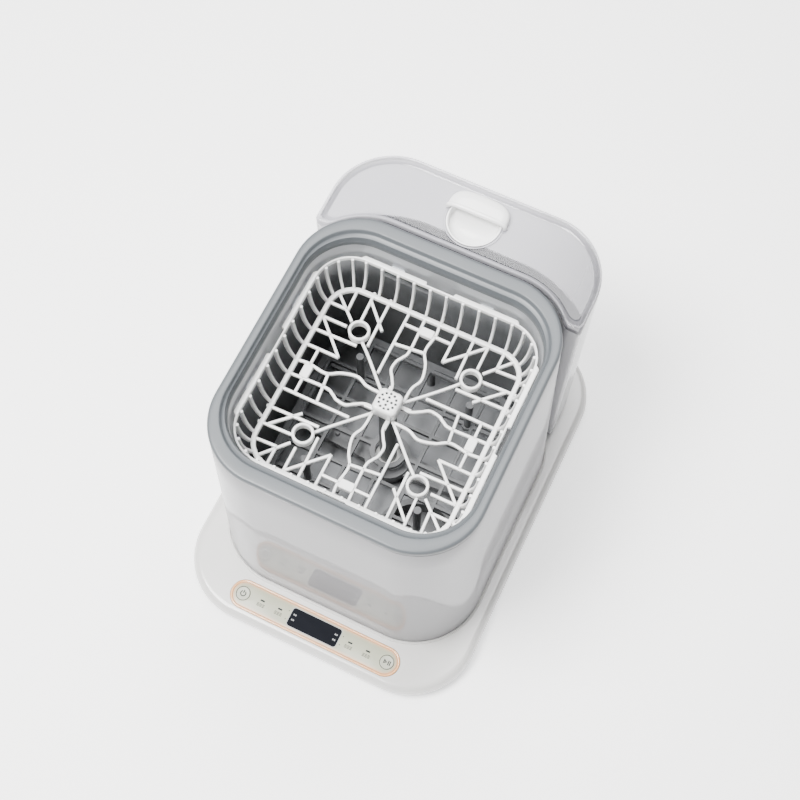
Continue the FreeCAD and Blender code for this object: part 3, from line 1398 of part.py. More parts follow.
def upper_basket():
    """Open basket: notched rim, ribbed walls, lower ring and a floor of ribs round four peg rings."""
    half = size("basket_width") / 2
    notch = size("basket_notch")
    low = size("basket_floor_z")
    high = size("rib_height")
    width = size("rib_width")
    rim_high = size("basket_rim_height")
    rim_z = size("basket_rim_z") - rim_high
    band = size("basket_rim_band")
    corner = size("basket_corner")
    foot = size("basket_foot_width") / 2
    rim_ring = ring_solid(half - notch, half - notch, corner - notch, band, rim_z, rim_high)
    lower_ring = ring_solid(foot, foot, size("basket_foot_corner"), size("basket_foot_band"), low, high)
    inner = size("basket_tab_inner")
    outer = size("basket_tab_outer")
    side = []
    for way in (-1, 1):
        tab = bar_solid(way * (inner + outer) / 2, half - (notch + band) / 2, rim_z, outer - inner,
                        notch + band, rim_high)
        side.append(tab)
        side.append(moved(wall_rib(2 * size("rib_height")), way * outer, 0))
    for step in range(RIBS_EACH_WAY):
        for way in (-1, 1):
            side.append(moved(wall_rib(size("rib_height")), way * (step + 0.5) * size("rib_pitch"), 0))
    side += [rib_solid(start, end, low, width, high) for start, end in CELL_RIBS + CORNER_RIBS]
    spread = 3.5 * size("rib_pitch")
    ring_height = 2 * high
    ring = tube_solid(spread, spread, low, size("ring_outer"), ring_height)
    hole = tube_solid(spread, spread, low, size("ring_inner"), ring_height)
    tab_depth = size("cell_tab_width")
    tab = bar_solid(0, -RIBS_EACH_WAY * size("rib_pitch") - tab_depth / 4, low, size("cell_tab_length"),
                    tab_depth, high)
    side.append(tab)
    corner_blade = wall_rib(size("rib_height"))
    corner_turn = 45
    corner_shift = (math.sqrt(2) - 1) * (corner - notch)
    corner_blade.rotate(Vector(), Vector(0, 0, 1), -corner_turn)
    reach = (half - notch) * (math.sqrt(2) - 1) - corner_shift
    side.append(moved(corner_blade, reach / math.sqrt(2), reach / math.sqrt(2)))
    cap_half = size("cap_side") / 2
    seat = rounded_solid(cap_half + width, cap_half + width, size("cap_corner"), low, high)
    room = rounded_solid(cap_half - size("cap_wall"), cap_half - size("cap_wall"),
                         size("cap_corner") - size("cap_wall"), low, high)
    quarter = merged(ring, *side)
    whole = merged(rim_ring, lower_ring, seat, *around(4, quarter)).cut(merged(*around(4, hole), room))
    return moved(whole.removeSplitter(), 0, MIDDLE)


basket_solid = upper_basket()


def basket_room(low, high, hollow):
    """Space of one tier of the basket; a hollow one leaves the floor and the peg rings out."""
    outer = size("basket_width") / 2
    inner = size("basket_foot_width") / 2 - size("basket_foot_band") - 2 * size("rib_height")
    corner = size("basket_corner")
    room = rounded_solid(outer, outer, corner / 2, low, high - low)
    if hollow:
        room = room.cut(rounded_solid(inner, inner, corner, low, high - low))
    return moved(room, 0, MIDDLE)


WALL_LOW = worth("basket_floor_z + rib_height")
WALL_HIGH = worth("basket_rim_z - basket_rim_height")
rim_room = basket_room(WALL_HIGH, size("basket_rim_z"), False)
wall_room = basket_room(WALL_LOW, WALL_HIGH, True)
node(shaped("basket_rim", basket_solid.common(rim_room)))
node(shaped("basket_walls", basket_solid.common(wall_room)))
node(shaped("basket_floor", basket_solid.cut(rim_room.fuse(wall_room))))


CAP_HOLES = 12


def spray_cap():
    """Square hollow cap over the top of the riser, with seventeen jets through its top."""
    half = size("cap_side") / 2
    low = size("basket_floor_z") + size("rib_height")
    top = size("cap_top")
    wall = size("cap_wall")
    solid = rounded_solid(half, half, size("cap_corner"), low, top - low)
    room = rounded_solid(half - wall, half - wall, size("cap_corner") - wall, low, top - low - wall)
    hole = tube_solid(0, 0, top - wall, size("cap_hole"), wall)
    pitch = size("cap_side") * 0.36
    holes = [hole]
    holes += around(CAP_HOLES, moved(hole, pitch, 0))
    holes += around(4, moved(hole, pitch / 2, 0))
    return moved(solid.cut(room).cut(merged(*holes)), 0, MIDDLE)


node(shaped("spray_cap", spray_cap()))


# Water tank, its shelf, valve, lid, seal and grip

def tank_form(name, inset, bottom, top):
    """Crescent-shaped prism that wraps the rear of the wash body, drawn in by an inset."""
    form = Moulding(name)
    form.pad(bottom, f"{top} - ({bottom})",
             rounded(f"tank_width / 2 - ({inset})", "body_centre", f"tank_rear - ({inset})",
                     f"tank_corner - ({inset})"))
    form.cut_loft("deck_top", foot_outline(f"tank_clearance + {inset}"), "body_top",
                  around_body(f"body_width / 2 + tank_waist + ({inset})",
                              f"body_depth / 2 + body_flare + ({inset})",
                              f"body_corner + tank_waist + ({inset})"))
    form.pocket(top, f"{top} - ({bottom})",
                rounded("tank_width", "body_centre - tank_width", f"tank_horn + ({inset})",
                        "tank_horn_round"))
    return form


def horn_edges(inset, height):
    """Test for the long edges at the two horn tips."""

    def test(edge):
        box = edge.BoundBox
        flat = box.YLength < 2 and abs(box.YMin - size("tank_horn") - inset) < 2
        return flat and box.ZLength > 0.9 * height

    return test


tank_outside = tank_form("tank_outside", "0", "tank_bottom", "tank_top")
tank_outside.round_edges("tank_horn_round", horn_edges(0, worth("tank_top - tank_bottom")))
tank_inside = tank_form("tank_inside", "tank_wall", "tank_bottom + tank_wall", "tank_top")
valve_hole = rod("valve_hole", "valve_x", "valve_y", "tank_bottom - tank_wall", "valve_diameter",
                 "3 * tank_wall")
node(carve("water_tank", tank_outside.body, tank_inside.body, valve_hole))

VALVE = ("valve_x", "valve_y")
valve_outside = rod("valve_outside", *VALVE, "tank_bottom", "valve_diameter", "valve_height")
valve_throat = rod("valve_throat", *VALVE, "tank_bottom - tank_wall", "valve_bore / 2 + poppet_stem / 2",
                   "3 * tank_wall")
valve_room = rod("valve_room", *VALVE, "tank_bottom + tank_wall", "valve_bore + 2 * tank_wall",
                 "valve_height - 2 * tank_wall")
valve_guide = rod("valve_guide", *VALVE, "tank_bottom + tank_wall", "poppet_stem + 2 * bearing_fit",
                  "valve_height")
valve_window = centred_block("valve_window", *VALVE, "tank_bottom + 2 * tank_wall",
                             "valve_diameter + tank_wall",
                             "valve_bore / 2", "valve_height - 4 * tank_wall")
node(carve("tank_valve_body", valve_outside, valve_throat, valve_room, valve_guide, valve_window))

poppet_seat = "(tank_bottom + tank_wall + fit_gap)"
poppet_disc = rod("poppet_disc", *VALVE, poppet_seat, "valve_bore", "tank_wall")
poppet_stem = rod("poppet_rod", *VALVE, "tank_bottom + fit_gap", "poppet_stem",
                  "valve_height - poppet_travel - fit_gap")
node(join("tank_valve_poppet", poppet_disc, poppet_stem))


def valve_spring():
    """Closed-coil return spring of the valve, as rings joined by two uprights."""
    wire = size("poppet_stem") / 4
    mean = (size("poppet_stem") + size("valve_bore")) / 4
    low = worth(poppet_seat) + size("tank_wall") + GAP
    top = worth("tank_bottom + valve_height - tank_wall") - GAP
    count = 4
    step = (top - low - wire) / (count - 1)
    x = size("valve_x")
    y = size("valve_y")
    rings = [Part.makeTorus(mean, wire / 2, Vector(x, y, low + wire / 2 + n * step)) for n in range(count)]
    post = tube_solid(x + mean, y, low + wire / 2, 0.7 * wire, top - low - wire)
    return merged(*rings, *around(2, post, x, y))


node(shaped("tank_valve_spring", valve_spring()))

LID_TOP = "(tank_top + lid_height)"
PANEL_TOP = f"({LID_TOP} - lid_recess)"
lid_outside = tank_form("lid_outside", "0", "tank_top", LID_TOP)
lid_outside.round_edges("tank_horn_round", horn_edges(0, size("lid_height")))
lid_dish = tank_form("lid_dish", "lid_lip + lid_slope / 2", PANEL_TOP, LID_TOP)
lid_under = tank_form("lid_under", "tank_wall", "tank_top", f"{PANEL_TOP} - lid_plate")
GRIP = ("0", "grip_y")
grip_hole = rod("grip_hole", *GRIP, "tank_top", "grip_diameter + 2 * grip_wall + fit_gap", "lid_height")
node(carve("tank_lid", lid_outside.body, lid_dish.body, lid_under.body, grip_hole))

PLUG = ("tank_top - lid_tuck", f"{PANEL_TOP} - lid_plate")
plug_outside = tank_form("plug_outside", "tank_wall + fit_gap", *PLUG)
plug_inside = tank_form("plug_inside", "2 * tank_wall + fit_gap", *PLUG)
node(carve("tank_lid_seal", plug_outside.body, plug_inside.body))


def tank_grip():
    """Round finger cup let into the lid, with a hood over its rear half."""
    y = size("grip_y")
    wall = size("grip_wall")
    top = worth(PANEL_TOP)
    wide = size("grip_diameter") + 2 * wall
    depth = size("grip_depth")
    cup_solid = tube_solid(0, y, top - depth - wall, wide, depth + wall)
    rim_plate = tube_solid(0, y, top, wide + 2 * wall, wall / 2)
    hood_solid = Part.makeCylinder(size("hood_width") / 2, size("hood_height"), Vector(0, y, top))
    edges = [edge for edge in hood_solid.Edges if edge.BoundBox.ZMin > top + size("hood_height") / 2]
    hood_solid = hood_solid.makeFillet(size("hood_height") * 0.7, edges)
    hood_room = Part.makeCylinder(size("hood_width") / 2 - size("hood_wall"),
                                  size("hood_height") - size("hood_wall"), Vector(0, y, top))
    front = bar_solid(0, y - size("hood_width") / 2, top, 2 * size("hood_width"), size("hood_width"),
                      2 * size("hood_height"))
    rear = bar_solid(0, size("hood_rear") + size("hood_width") / 2, top, 2 * size("hood_width"),
                     size("hood_width"), 2 * size("hood_height"))
    hood = hood_solid.cut(hood_room).cut(front).cut(rear)
    room = tube_solid(0, y, top - depth, size("grip_diameter"), depth + wall)
    return merged(cup_solid, rim_plate).cut(room).fuse(hood).removeSplitter()


node(shaped("tank_grip", tank_grip()))


SHELF_Z = "(tank_top - shelf_drop)"
shelf_form = tank_form("shelf_form", "tank_wall", SHELF_Z, f"{SHELF_Z} + shelf_thickness")
doc.recompute()


def tank_shelf():
    """Thin crescent shelf along the tank's front wall, just under the lid."""
    inset = size("rim_top_side") - size("shelf_margin")
    plate = rounded_solid(size("body_width") / 2 - inset, size("body_depth") / 2 - inset,
                          size("body_corner") - inset, worth(SHELF_Z), size("shelf_thickness"))
    return shelf_form.body.Shape.common(moved(plate, size("shelf_shift"), MIDDLE + size("shelf_reach")))


node(shaped("tank_shelf", tank_shelf()))

# Check and export

doc.recompute()
for item in doc.Objects:
    if "Invalid" in item.State or "Error" in item.State:
        raise RuntimeError(f"{item.Label} did not build: {item.State}")
os.makedirs("parts", exist_ok=True)
for item in NODES:
    shape = item.Shape
    if shape.isNull() or not shape.isValid() or not shape.Solids:
        raise RuntimeError(f"{item.Label} has no sound solid")
    shape.exportStep(f"parts/{item.Label}.step")
    box = shape.BoundBox
    print(f"{item.Label}: {len(shape.Solids)} solid, {shape.Volume / 1000:.1f} cm3, "
          f"z {box.ZMin:.1f} to {box.ZMax:.1f}")
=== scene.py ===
"""Looks of a tabletop washer for baby bottles, built round its fixed construction.

Everything is in metres. +Z is up, the control panel faces -Y and the water tank stands at +Y. Sizes in the
classes are millimetres, as on a drawing, and millimetres() turns them into metres.
"""

import logging
import math
from dataclasses import dataclass, field
from enum import Enum
from functools import cache
from typing import Any, Iterable, Sequence

import bmesh
import bpy
import numpy as np
from mathutils import Matrix, Vector


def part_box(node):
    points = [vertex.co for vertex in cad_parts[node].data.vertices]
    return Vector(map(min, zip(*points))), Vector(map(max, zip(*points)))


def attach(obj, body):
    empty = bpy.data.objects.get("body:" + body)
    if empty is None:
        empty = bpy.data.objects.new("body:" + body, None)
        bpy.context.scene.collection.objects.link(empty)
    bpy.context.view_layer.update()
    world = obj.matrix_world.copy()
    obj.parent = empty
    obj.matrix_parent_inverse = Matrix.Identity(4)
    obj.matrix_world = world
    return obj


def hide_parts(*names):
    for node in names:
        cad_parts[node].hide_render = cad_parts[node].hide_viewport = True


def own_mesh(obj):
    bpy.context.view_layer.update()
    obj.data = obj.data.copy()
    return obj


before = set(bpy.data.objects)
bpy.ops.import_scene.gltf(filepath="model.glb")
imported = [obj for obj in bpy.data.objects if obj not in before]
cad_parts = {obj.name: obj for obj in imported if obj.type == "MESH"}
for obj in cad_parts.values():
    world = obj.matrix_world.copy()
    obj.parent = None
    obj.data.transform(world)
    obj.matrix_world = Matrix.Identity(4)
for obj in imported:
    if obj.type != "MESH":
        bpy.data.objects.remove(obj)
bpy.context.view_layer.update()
LOG = logging.getLogger("washer")

MM = 0.001
Colour = tuple[float, float, float]
Points = np.ndarray


def millimetres(values: Any) -> Points:
    """Turn millimetres into metres."""
    return np.asarray(values, float) * MM


# Shader graphs

class Socket:
    """An output of a node that takes part in arithmetic."""

    def __init__(self, graph: "Graph", link: bpy.types.NodeSocket) -> None:
        """Keep the output and the graph it belongs to."""
        self.graph = graph
        self.link = link

    def maths(self, operation: str, first: Any, second: Any) -> "Socket":
        """Add one Math node and return its result."""
        return self.graph.maths(operation, first, second)

    def __add__(self, other: Any) -> "Socket":
        """Sum."""
        return self.maths("ADD", self, other)

    __radd__ = __add__

    def __sub__(self, other: Any) -> "Socket":
        """Difference."""
        return self.maths("SUBTRACT", self, other)

    def __rsub__(self, other: Any) -> "Socket":
        """Difference, the other way."""
        return self.maths("SUBTRACT", other, self)

    def __mul__(self, other: Any) -> "Socket":
        """Product."""
        return self.maths("MULTIPLY", self, other)

    __rmul__ = __mul__

    def __pow__(self, other: float) -> "Socket":
        """Power."""
        return self.maths("POWER", self, other)

    def over(self, edge: float) -> "Socket":
        """One where the value is above an edge, otherwise nought."""
        return self.maths("GREATER_THAN", self, edge)

    def clipped(self) -> "Socket":
        """The value kept between nought and one."""
        return self.graph.node("ShaderNodeClamp", {}, {0: self})


class Graph:
    """Node graph of one material."""

    def __init__(self, name: str) -> None:
        """Start a material with an empty graph.

        Args:
            name: Name of the material.
        """
        self.material = bpy.data.materials.new(name)
        self.material.use_nodes = True
        self.tree = self.material.node_tree
        self.tree.nodes.clear()
        self.place = self.node("ShaderNodeTexCoord", {}, {}, "Object")

    def node(self, kind: str, settings: dict[str, Any], inputs: dict[Any, Any], output: Any = 0) -> Socket:
        """Add a node.

        Args:
            kind: Type of the node.
            settings: Properties of the node, which are set first.
            inputs: Values or Sockets by input name or number.
            output: Name or number of the output to return.

        Returns:
            The chosen output.
        """
        made = self.tree.nodes.new(kind)
        for key, value in settings.items():
            setattr(made, key, value)
        for key, value in inputs.items():
            if isinstance(value, Socket):
                self.tree.links.new(value.link, made.inputs[key])
                continue
            if made.inputs[key].type == "RGBA" and len(value) == 3:
                value = (*value, 1.0)
            made.inputs[key].default_value = value
        return Socket(self, made.outputs[output])

    def maths(self, operation: str, first: Any, second: Any) -> Socket:
        """Result of one Math node."""
        return self.node("ShaderNodeMath", {"operation": operation}, {0: first, 1: second})

    def stretched(self, scale: tuple[float, float, float]) -> Socket:
        """Object coordinates, stretched."""
        return self.node("ShaderNodeMapping", {}, {"Vector": self.place, "Scale": scale})

    def noise(self, scale: float, detail: float, where: Socket | None = None) -> Socket:
        """Soft noise from nought to one, with its scale per metre."""
        return self.node("ShaderNodeTexNoise", {}, {"Vector": where or self.place, "Scale": scale,
                                                    "Detail": detail, "Roughness": 0.55}, "Fac")

    def mix(self, share: Any, first: Any, second: Any) -> Socket:
        """Blend two colours by a share."""
        return self.node("ShaderNodeMix", {"data_type": "RGBA"}, {0: share, 6: first, 7: second}, 2)

    def bump(self, height: Socket, depth: float, strength: float) -> Socket:
        """Normal from a height pattern, with its depth in metres."""
        return self.node("ShaderNodeBump", {}, {"Height": height, "Distance": depth, "Strength": strength},
                         "Normal")

    def axis(self, name: str) -> Socket:
        """One of the object coordinates, X, Y or Z."""
        return self.node("ShaderNodeSeparateXYZ", {}, {0: self.place}, name)

    def finish(self, **inputs: Any) -> bpy.types.Material:
        """Close the graph with the main shader and return the material.

        Args:
            inputs: Values or Sockets by name of the shader's input, with _ for each space.

        Returns:
            The material.
        """
        settings = {key.replace("_", " "): value for key, value in inputs.items()}
        shader = self.node("ShaderNodeBsdfPrincipled", {}, settings)
        output = self.tree.nodes.new("ShaderNodeOutputMaterial")
        self.tree.links.new(shader.link, output.inputs["Surface"])
        return self.material


@dataclass(frozen=True)
class Zone:
    """Part of a face painted another colour, inside or outside a rounded rectangle, in metres: painted shade
    on the lid and painted glow on the fascia.
    """

    colour: Colour
    half: tuple[float, float]
    centre: tuple[float, float]
    fade: tuple[float, float]
    inside: bool = False
    strength: float = 1.0
    below: float | None = None

    def share(self, graph: Graph, cloud: Socket) -> Socket:
        """Share of the zone's colour.

        The distance from the core rectangle is d = sqrt(max(|x - cx| - hx, 0)^2 + max(|y - cy| - hy, 0)^2).
        The share is the square of how far d is through the fade, or of what is left of it inside. Where
        below is set, the share is nought above that height.

        Args:
            graph: Graph of the material.
            cloud: Soft noise that makes the zone uneven.

        Returns:
            Share from nought to one.
        """
        gaps = []
        for name, centre, half in zip("XY", self.centre, self.half):
            gap = graph.maths("ABSOLUTE", graph.axis(name) - centre, 0.0) - half
            gaps.append(graph.maths("MAXIMUM", gap, 0.0))
        away = (gaps[0] * gaps[0] + gaps[1] * gaps[1]) ** 0.5
        start, end = self.fade
        rise = ((away - start) * (1 / (end - start))).clipped()
        if self.inside:
            rise = 1.0 - rise
        if self.below:
            rise = rise * (1.0 - graph.axis("Z").over(self.below))
        return (rise * rise * (self.strength + (cloud - 0.5) * 0.4)).clipped()


@dataclass(frozen=True)
class Plastic:
    """Moulded plastic: cloudy tint and faint mould grain, with clear gloss on some and zones of painted shade
    and painted glow on others.
    """

    name: str
    colour: Colour
    tint: Colour
    roughness: float = 0.3
    uneven: float = 0.06
    grain_scale: float = 2600.0
    grain_depth: float = 0.000012
    cloud_scale: float = 14.0
    coat: float = 0.0
    coat_roughness: float = 0.08
    alpha: float = 1.0
    milk: float = 0.0
    shine: float = 0.5
    zones: tuple[Zone, ...] = ()

    def material(self) -> bpy.types.Material:
        """Build the material.

        Returns:
            The material.
        """
        graph = Graph(self.name)
        cloud = graph.noise(self.cloud_scale, 4.0)
        colour = graph.mix(cloud, self.colour, self.tint)
        # Zones paint shade and glow over the plastic's colour.
        for zone in self.zones:
            colour = graph.mix(zone.share(graph, cloud), colour, zone.colour)
        specks = graph.noise(self.grain_scale, 2.0)
        smears = graph.noise(60.0, 5.0)
        roughness = (self.roughness + (smears - 0.5) * self.uneven).clipped()
        settings = {
            "Base_Color": colour,
            "Roughness": roughness,
            "Normal": graph.bump(specks, self.grain_depth, 0.6),
            "Coat_Weight": self.coat,
            "Specular_IOR_Level": self.shine,
            "Coat_Roughness": self.coat_roughness,
        }
        if self.alpha < 1.0:
            settings["Alpha"] = (self.alpha + (cloud - 0.5) * 0.04).clipped()
        if self.milk:
            settings["Subsurface_Weight"] = self.milk
            settings["Subsurface_Radius"] = (0.6, 0.62, 0.66)
            settings["Subsurface_Scale"] = 0.004
        return graph.finish(**settings)


@dataclass(frozen=True)
class Metal:
    """Drawn or brushed metal with streaks along one direction; where shaded is set, painted shade darkens it
    low down, between the two heights.
    """

    name: str
    colour: Colour
    roughness: float = 0.3
    streak: tuple[float, float, float] = (40.0, 40.0, 2500.0)
    depth: float = 0.000008
    shaded: tuple[float, float] | None = None
    painted_shade: float = 0.33

    def material(self) -> bpy.types.Material:
        """Build the material.

        Returns:
            The material.
        """
        graph = Graph(self.name)
        streaks = graph.noise(1.0, 4.0, graph.stretched(self.streak))
        cloud = graph.noise(22.0, 4.0)
        dark = tuple(0.72 * part for part in self.colour)
        share = (streaks * 0.45 + cloud * 0.4).clipped()
        colour = graph.mix(share, self.colour, dark)
        # Painted shade: the colour darkens towards the bottom, between the two heights.
        if self.shaded:
            low, high = self.shaded
            rise = ((graph.axis("Z") - low) * (1 / (high - low))).clipped()
            painted_shade = tuple(self.painted_shade * part for part in self.colour)
            colour = graph.mix(rise ** 1.5, painted_shade, colour)
        return graph.finish(Base_Color=colour, Metallic=1.0,
                            Roughness=(self.roughness + (streaks - 0.5) * 0.18).clipped(),
                            Normal=graph.bump(streaks, self.depth, 0.7))


@dataclass(frozen=True)
class Soft:
    """Rubber or silicone: matt, with a fine dusty grain."""

    name: str
    colour: Colour
    dust: Colour
    roughness: float = 0.7

    def material(self) -> bpy.types.Material:
        """Build the material.

        Returns:
            The material.
        """
        graph = Graph(self.name)
        grain = graph.noise(900.0, 3.0)
        cloud = graph.noise(35.0, 3.0)
        return graph.finish(Base_Color=graph.mix((cloud * 0.6).clipped(), self.colour, self.dust),
                            Roughness=(self.roughness + (grain - 0.5) * 0.15).clipped(),
                            Normal=graph.bump(grain, 0.00004, 0.7))


@dataclass(frozen=True)
class Board:
    """Printed circuit board: green mask with copper tracks and pads showing through."""

    name: str = "circuit_board"

    def material(self) -> bpy.types.Material:
        """Build the material.

        Returns:
            The material.
        """
        graph = Graph(self.name)
        cells = graph.node("ShaderNodeTexBrick", {"offset": 0.5}, {
            "Vector": graph.stretched((1, 1, 0)), "Scale": 260.0, "Mortar Size": 0.05, "Color1": (0, 0, 0, 1),
            "Color2": (0.35, 0.35, 0.35, 1), "Mortar": (1, 1, 1, 1)}, "Fac")
        wander = graph.noise(140.0, 2.0).over(0.52)
        tracks = (cells * wander).clipped()
        green = graph.mix(tracks, (0.012, 0.085, 0.04), (0.05, 0.22, 0.09))
        dots = graph.node("ShaderNodeTexVoronoi", {"feature": "F1"}, {"Vector": graph.place, "Scale": 300.0},
                          "Distance")
        pads = (1.0 - dots.over(0.16)) * graph.noise(60.0, 1.0).over(0.5)
        return graph.finish(Base_Color=graph.mix(pads, green, (0.75, 0.6, 0.3)),
                            Roughness=(0.35 + tracks * 0.1).clipped(), Metallic=pads,
                            Normal=graph.bump(tracks, 0.00003, 0.8))


@dataclass(frozen=True)
class Foam:
    """Pleated filter felt."""

    name: str = "filter_felt"

    def material(self) -> bpy.types.Material:
        """Build the material.

        Returns:
            The material.
        """
        graph = Graph(self.name)
        pleats = graph.node("ShaderNodeTexWave", {"bands_direction": "X"}, {
            "Vector": graph.place, "Scale": 50.0, "Distortion": 0.6, "Detail": 2.0}, "Fac")
        fibre = graph.noise(3000.0, 4.0)
        return graph.finish(Base_Color=graph.mix(pleats, (0.55, 0.55, 0.52), (0.85, 0.85, 0.83)),
                            Roughness=(0.85 + fibre * 0.1).clipped(),
                            Normal=graph.bump(pleats * 0.8 + fibre * 0.2, 0.0006, 0.8))


class Finish(Enum):
    """Finishes of the washer, by what they are on."""

    DECK = Plastic("deck_white", (0.66, 0.655, 0.64), (0.63, 0.625, 0.615), 0.22, coat=0.3)
    # painted shade: the white wall is kept far darker than the white deck, for the shade on its upright sides
    WALL = Plastic("wall_white_painted_shade", (0.245, 0.245, 0.256), (0.232, 0.232, 0.242), 0.4, 0.03, coat=0.5,
                   coat_roughness=0.0, grain_depth=0.000002, shine=0.1)
    RIM = Plastic("rim_grey", (0.092, 0.1015, 0.110), (0.081, 0.0905, 0.099), 0.4, grain_depth=0.00002)
    BASKET = Plastic("basket_white", (0.83, 0.83, 0.82), (0.77, 0.775, 0.77), 0.28, coat=0.25, milk=0.25)
    RACK = Plastic("rack_grey", (0.075, 0.078, 0.082), (0.055, 0.058, 0.062), 0.38)
    TANK = Plastic("tank_milky", (0.50, 0.50, 0.525), (0.45, 0.45, 0.47), 0.16, alpha=0.72, coat=0.5)
    LID = Plastic("lid_milky", (0.50, 0.495, 0.54), (0.465, 0.46, 0.505), 0.1, alpha=0.6, coat=0.6,
                  coat_roughness=0.03, grain_depth=0.000003,
                  # painted shade: the lid darkens towards its right end, which lies in shade
                  zones=(Zone((0.14, 0.138, 0.155), (0.06, 0.1), (-0.06, 0.15), (0.0, 0.13)),
                         # painted shadow: dark crescent on the flat lid panel, where the rim frame casts its
                         # shadow
                         Zone((0.05, 0.05, 0.06), (0.042, 0.0), (0.01, 0.036), (0.102, 0.103), True,
                              below=0.2575)))
    GRIP = Plastic("grip_white", (0.93, 0.93, 0.925), (0.89, 0.89, 0.89), 0.2, coat=0.5)
    # painted shade: dark sheet under the lid that stands for the shade seen through the lid
    SHELF = Plastic("shelf_painted_shade", (0.07, 0.07, 0.078), (0.06, 0.06, 0.066), 0.3, alpha=0.97)
    FASCIA = Plastic("fascia_grey", (0.42, 0.43, 0.32), (0.395, 0.405, 0.30), 0.35, 0.04,
                     # painted glow: peach light of the amber bezel spread over the fascia's edge
                     zones=(Zone((0.80, 0.42, 0.22), (0.074, 0.0), (0.0, -0.1755), (0.0078, 0.0118),
                                 strength=0.8),))
    AMBER = Plastic("bezel_amber", (0.86, 0.50, 0.27), (0.80, 0.40, 0.17), 0.15, coat=0.6)
    BUTTON = Plastic("button_grey", (0.46, 0.47, 0.385), (0.43, 0.44, 0.36), 0.35)
    PRINT = Plastic("print_dark", (0.02, 0.022, 0.025), (0.03, 0.032, 0.035), 0.6, shine=0.2)
    LABEL = Plastic("print_grey", (0.075, 0.078, 0.066), (0.10, 0.104, 0.088), 0.6, shine=0.2)
    GLASS = Plastic("display_smoke", (0.010, 0.011, 0.014), (0.013, 0.014, 0.018), 0.5, 0.02, shine=0.0,
                    grain_depth=0.000002)
    MARK = Plastic("mark_white", (0.42, 0.43, 0.44), (0.36, 0.37, 0.38), 0.4, shine=0.2)
    DARK = Plastic("inner_black", (0.03, 0.031, 0.033), (0.05, 0.05, 0.052), 0.5, grain_depth=0.00004)
    MID = Plastic("inner_grey", (0.26, 0.27, 0.28), (0.21, 0.22, 0.23), 0.42, grain_depth=0.00003)
    PALE = Plastic("inner_pale", (0.72, 0.72, 0.70), (0.66, 0.66, 0.645), 0.35)
    STEEL = Metal("bright_steel", (0.34, 0.34, 0.335), 0.34)
    # painted shade: tub steel darkens towards the bottom of the tub
    TUB = Metal("tub_steel", (0.56, 0.575, 0.595), 0.55, (30.0, 30.0, 1800.0), shaded=(0.10, 0.25))
    ARM = Plastic("arm_grey", (0.09, 0.093, 0.097), (0.07, 0.073, 0.077), 0.42, grain_depth=0.00003)
    CAN = Metal("motor_can", (0.55, 0.555, 0.54), 0.36, (60.0, 60.0, 900.0))
    FOOT = Soft("foot_rubber", (0.03, 0.03, 0.03), (0.08, 0.08, 0.078))
    SEAL = Soft("seal_silicone", (0.62, 0.63, 0.63), (0.7, 0.7, 0.69), 0.5)
    HOSE = Soft("hose_silicone", (0.55, 0.55, 0.52), (0.62, 0.62, 0.6), 0.4)
    BOARD = Board()
    FELT = Foam()


@cache
def material_of(finish: Finish) -> bpy.types.Material:
    """Material of a finish, made once."""
    return finish.value.material()


# Surfaces

@dataclass
class Mesh:
    """Vertices and faces that are being gathered for one piece."""

    points: list[Points] = field(default_factory=list)
    faces: list[tuple[int, ...]] = field(default_factory=list)
    count: int = 0

    def add(self, points: Points, faces: Iterable[Sequence[int]]) -> None:
        """Add points and faces whose numbers start at nought.

        Args:
            points: Array of places, one row each, in metres.
            faces: Faces as point numbers.
        """
        start = self.count
        self.points.append(np.asarray(points, float))
        self.faces.extend(tuple(int(i) + start for i in face) for face in faces)
        self.count += len(points)

    def data(self, name: str) -> bpy.types.Mesh:
        """Mesh data with doubled points joined, empty faces dropped and faces turned outwards.

        Args:
            name: Name of the mesh data.

        Returns:
            The mesh data.
        """
        made = bpy.data.meshes.new(name)
        made.from_pydata(np.concatenate(self.points), [], self.faces)
        work = bmesh.new()
        work.from_mesh(made)
        bmesh.ops.remove_doubles(work, verts=work.verts, dist=1e-6)
        bmesh.ops.dissolve_degenerate(work, edges=work.edges, dist=1e-7)
        bmesh.ops.recalc_face_normals(work, faces=work.faces)
        work.to_mesh(made)
        work.free()
        return made

    def piece(self, name: str, body: str, finish: Finish, sharp: float = 35.0) -> bpy.types.Object:
        """Make the object, shaded smooth apart from its sharp edges.

        Args:
            name: Name of the piece.
            body: Body that it rides on.
            finish: Finish of its surface.
            sharp: Angle in degrees above which an edge stays sharp.

        Returns:
            The finished object.
        """
        data = self.data(name)
        data.shade_smooth()
        data.set_sharp_from_angle(angle=math.radians(sharp))
        data.materials.append(material_of(finish))
        made = bpy.data.objects.new(name, data)
        bpy.context.scene.collection.objects.link(made)
        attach(made, body)
        LOG.info("%s: %d faces", name, len(data.polygons))
        return made


def grid_faces(rows: int, columns: int, wrap_rows: bool, wrap_columns: bool) -> Points:
    """Faces of a grid of points.

    Point (i, j) has number i * columns + j. A wrapped direction joins its last line to its first.

    Args:
        rows: Number of rows.
        columns: Number of columns.
        wrap_rows: Whether the last row joins the first.
        wrap_columns: Whether the last column joins the first.

    Returns:
        Array of faces, four numbers each.
    """
    i = np.arange(rows if wrap_rows else rows - 1)[:, None]
    j = np.arange(columns if wrap_columns else columns - 1)[None, :]
    after_i = (i + 1) % rows
    after_j = (j + 1) % columns
    corners = (i * columns + j, i * columns + after_j, after_i * columns + after_j, after_i * columns + j)
    return np.stack(np.broadcast_arrays(*corners), -1).reshape(-1, 4)


def arc(centre: Sequence[float], radius: float, start: float, end: float, count: int) -> Points:
    """Points on an arc: centre + radius * (cos a, sin a), with a running from start to end in degrees."""
    angle = np.radians(np.linspace(start, end, count))
    return np.column_stack([centre[0] + radius * np.cos(angle), centre[1] + radius * np.sin(angle)])


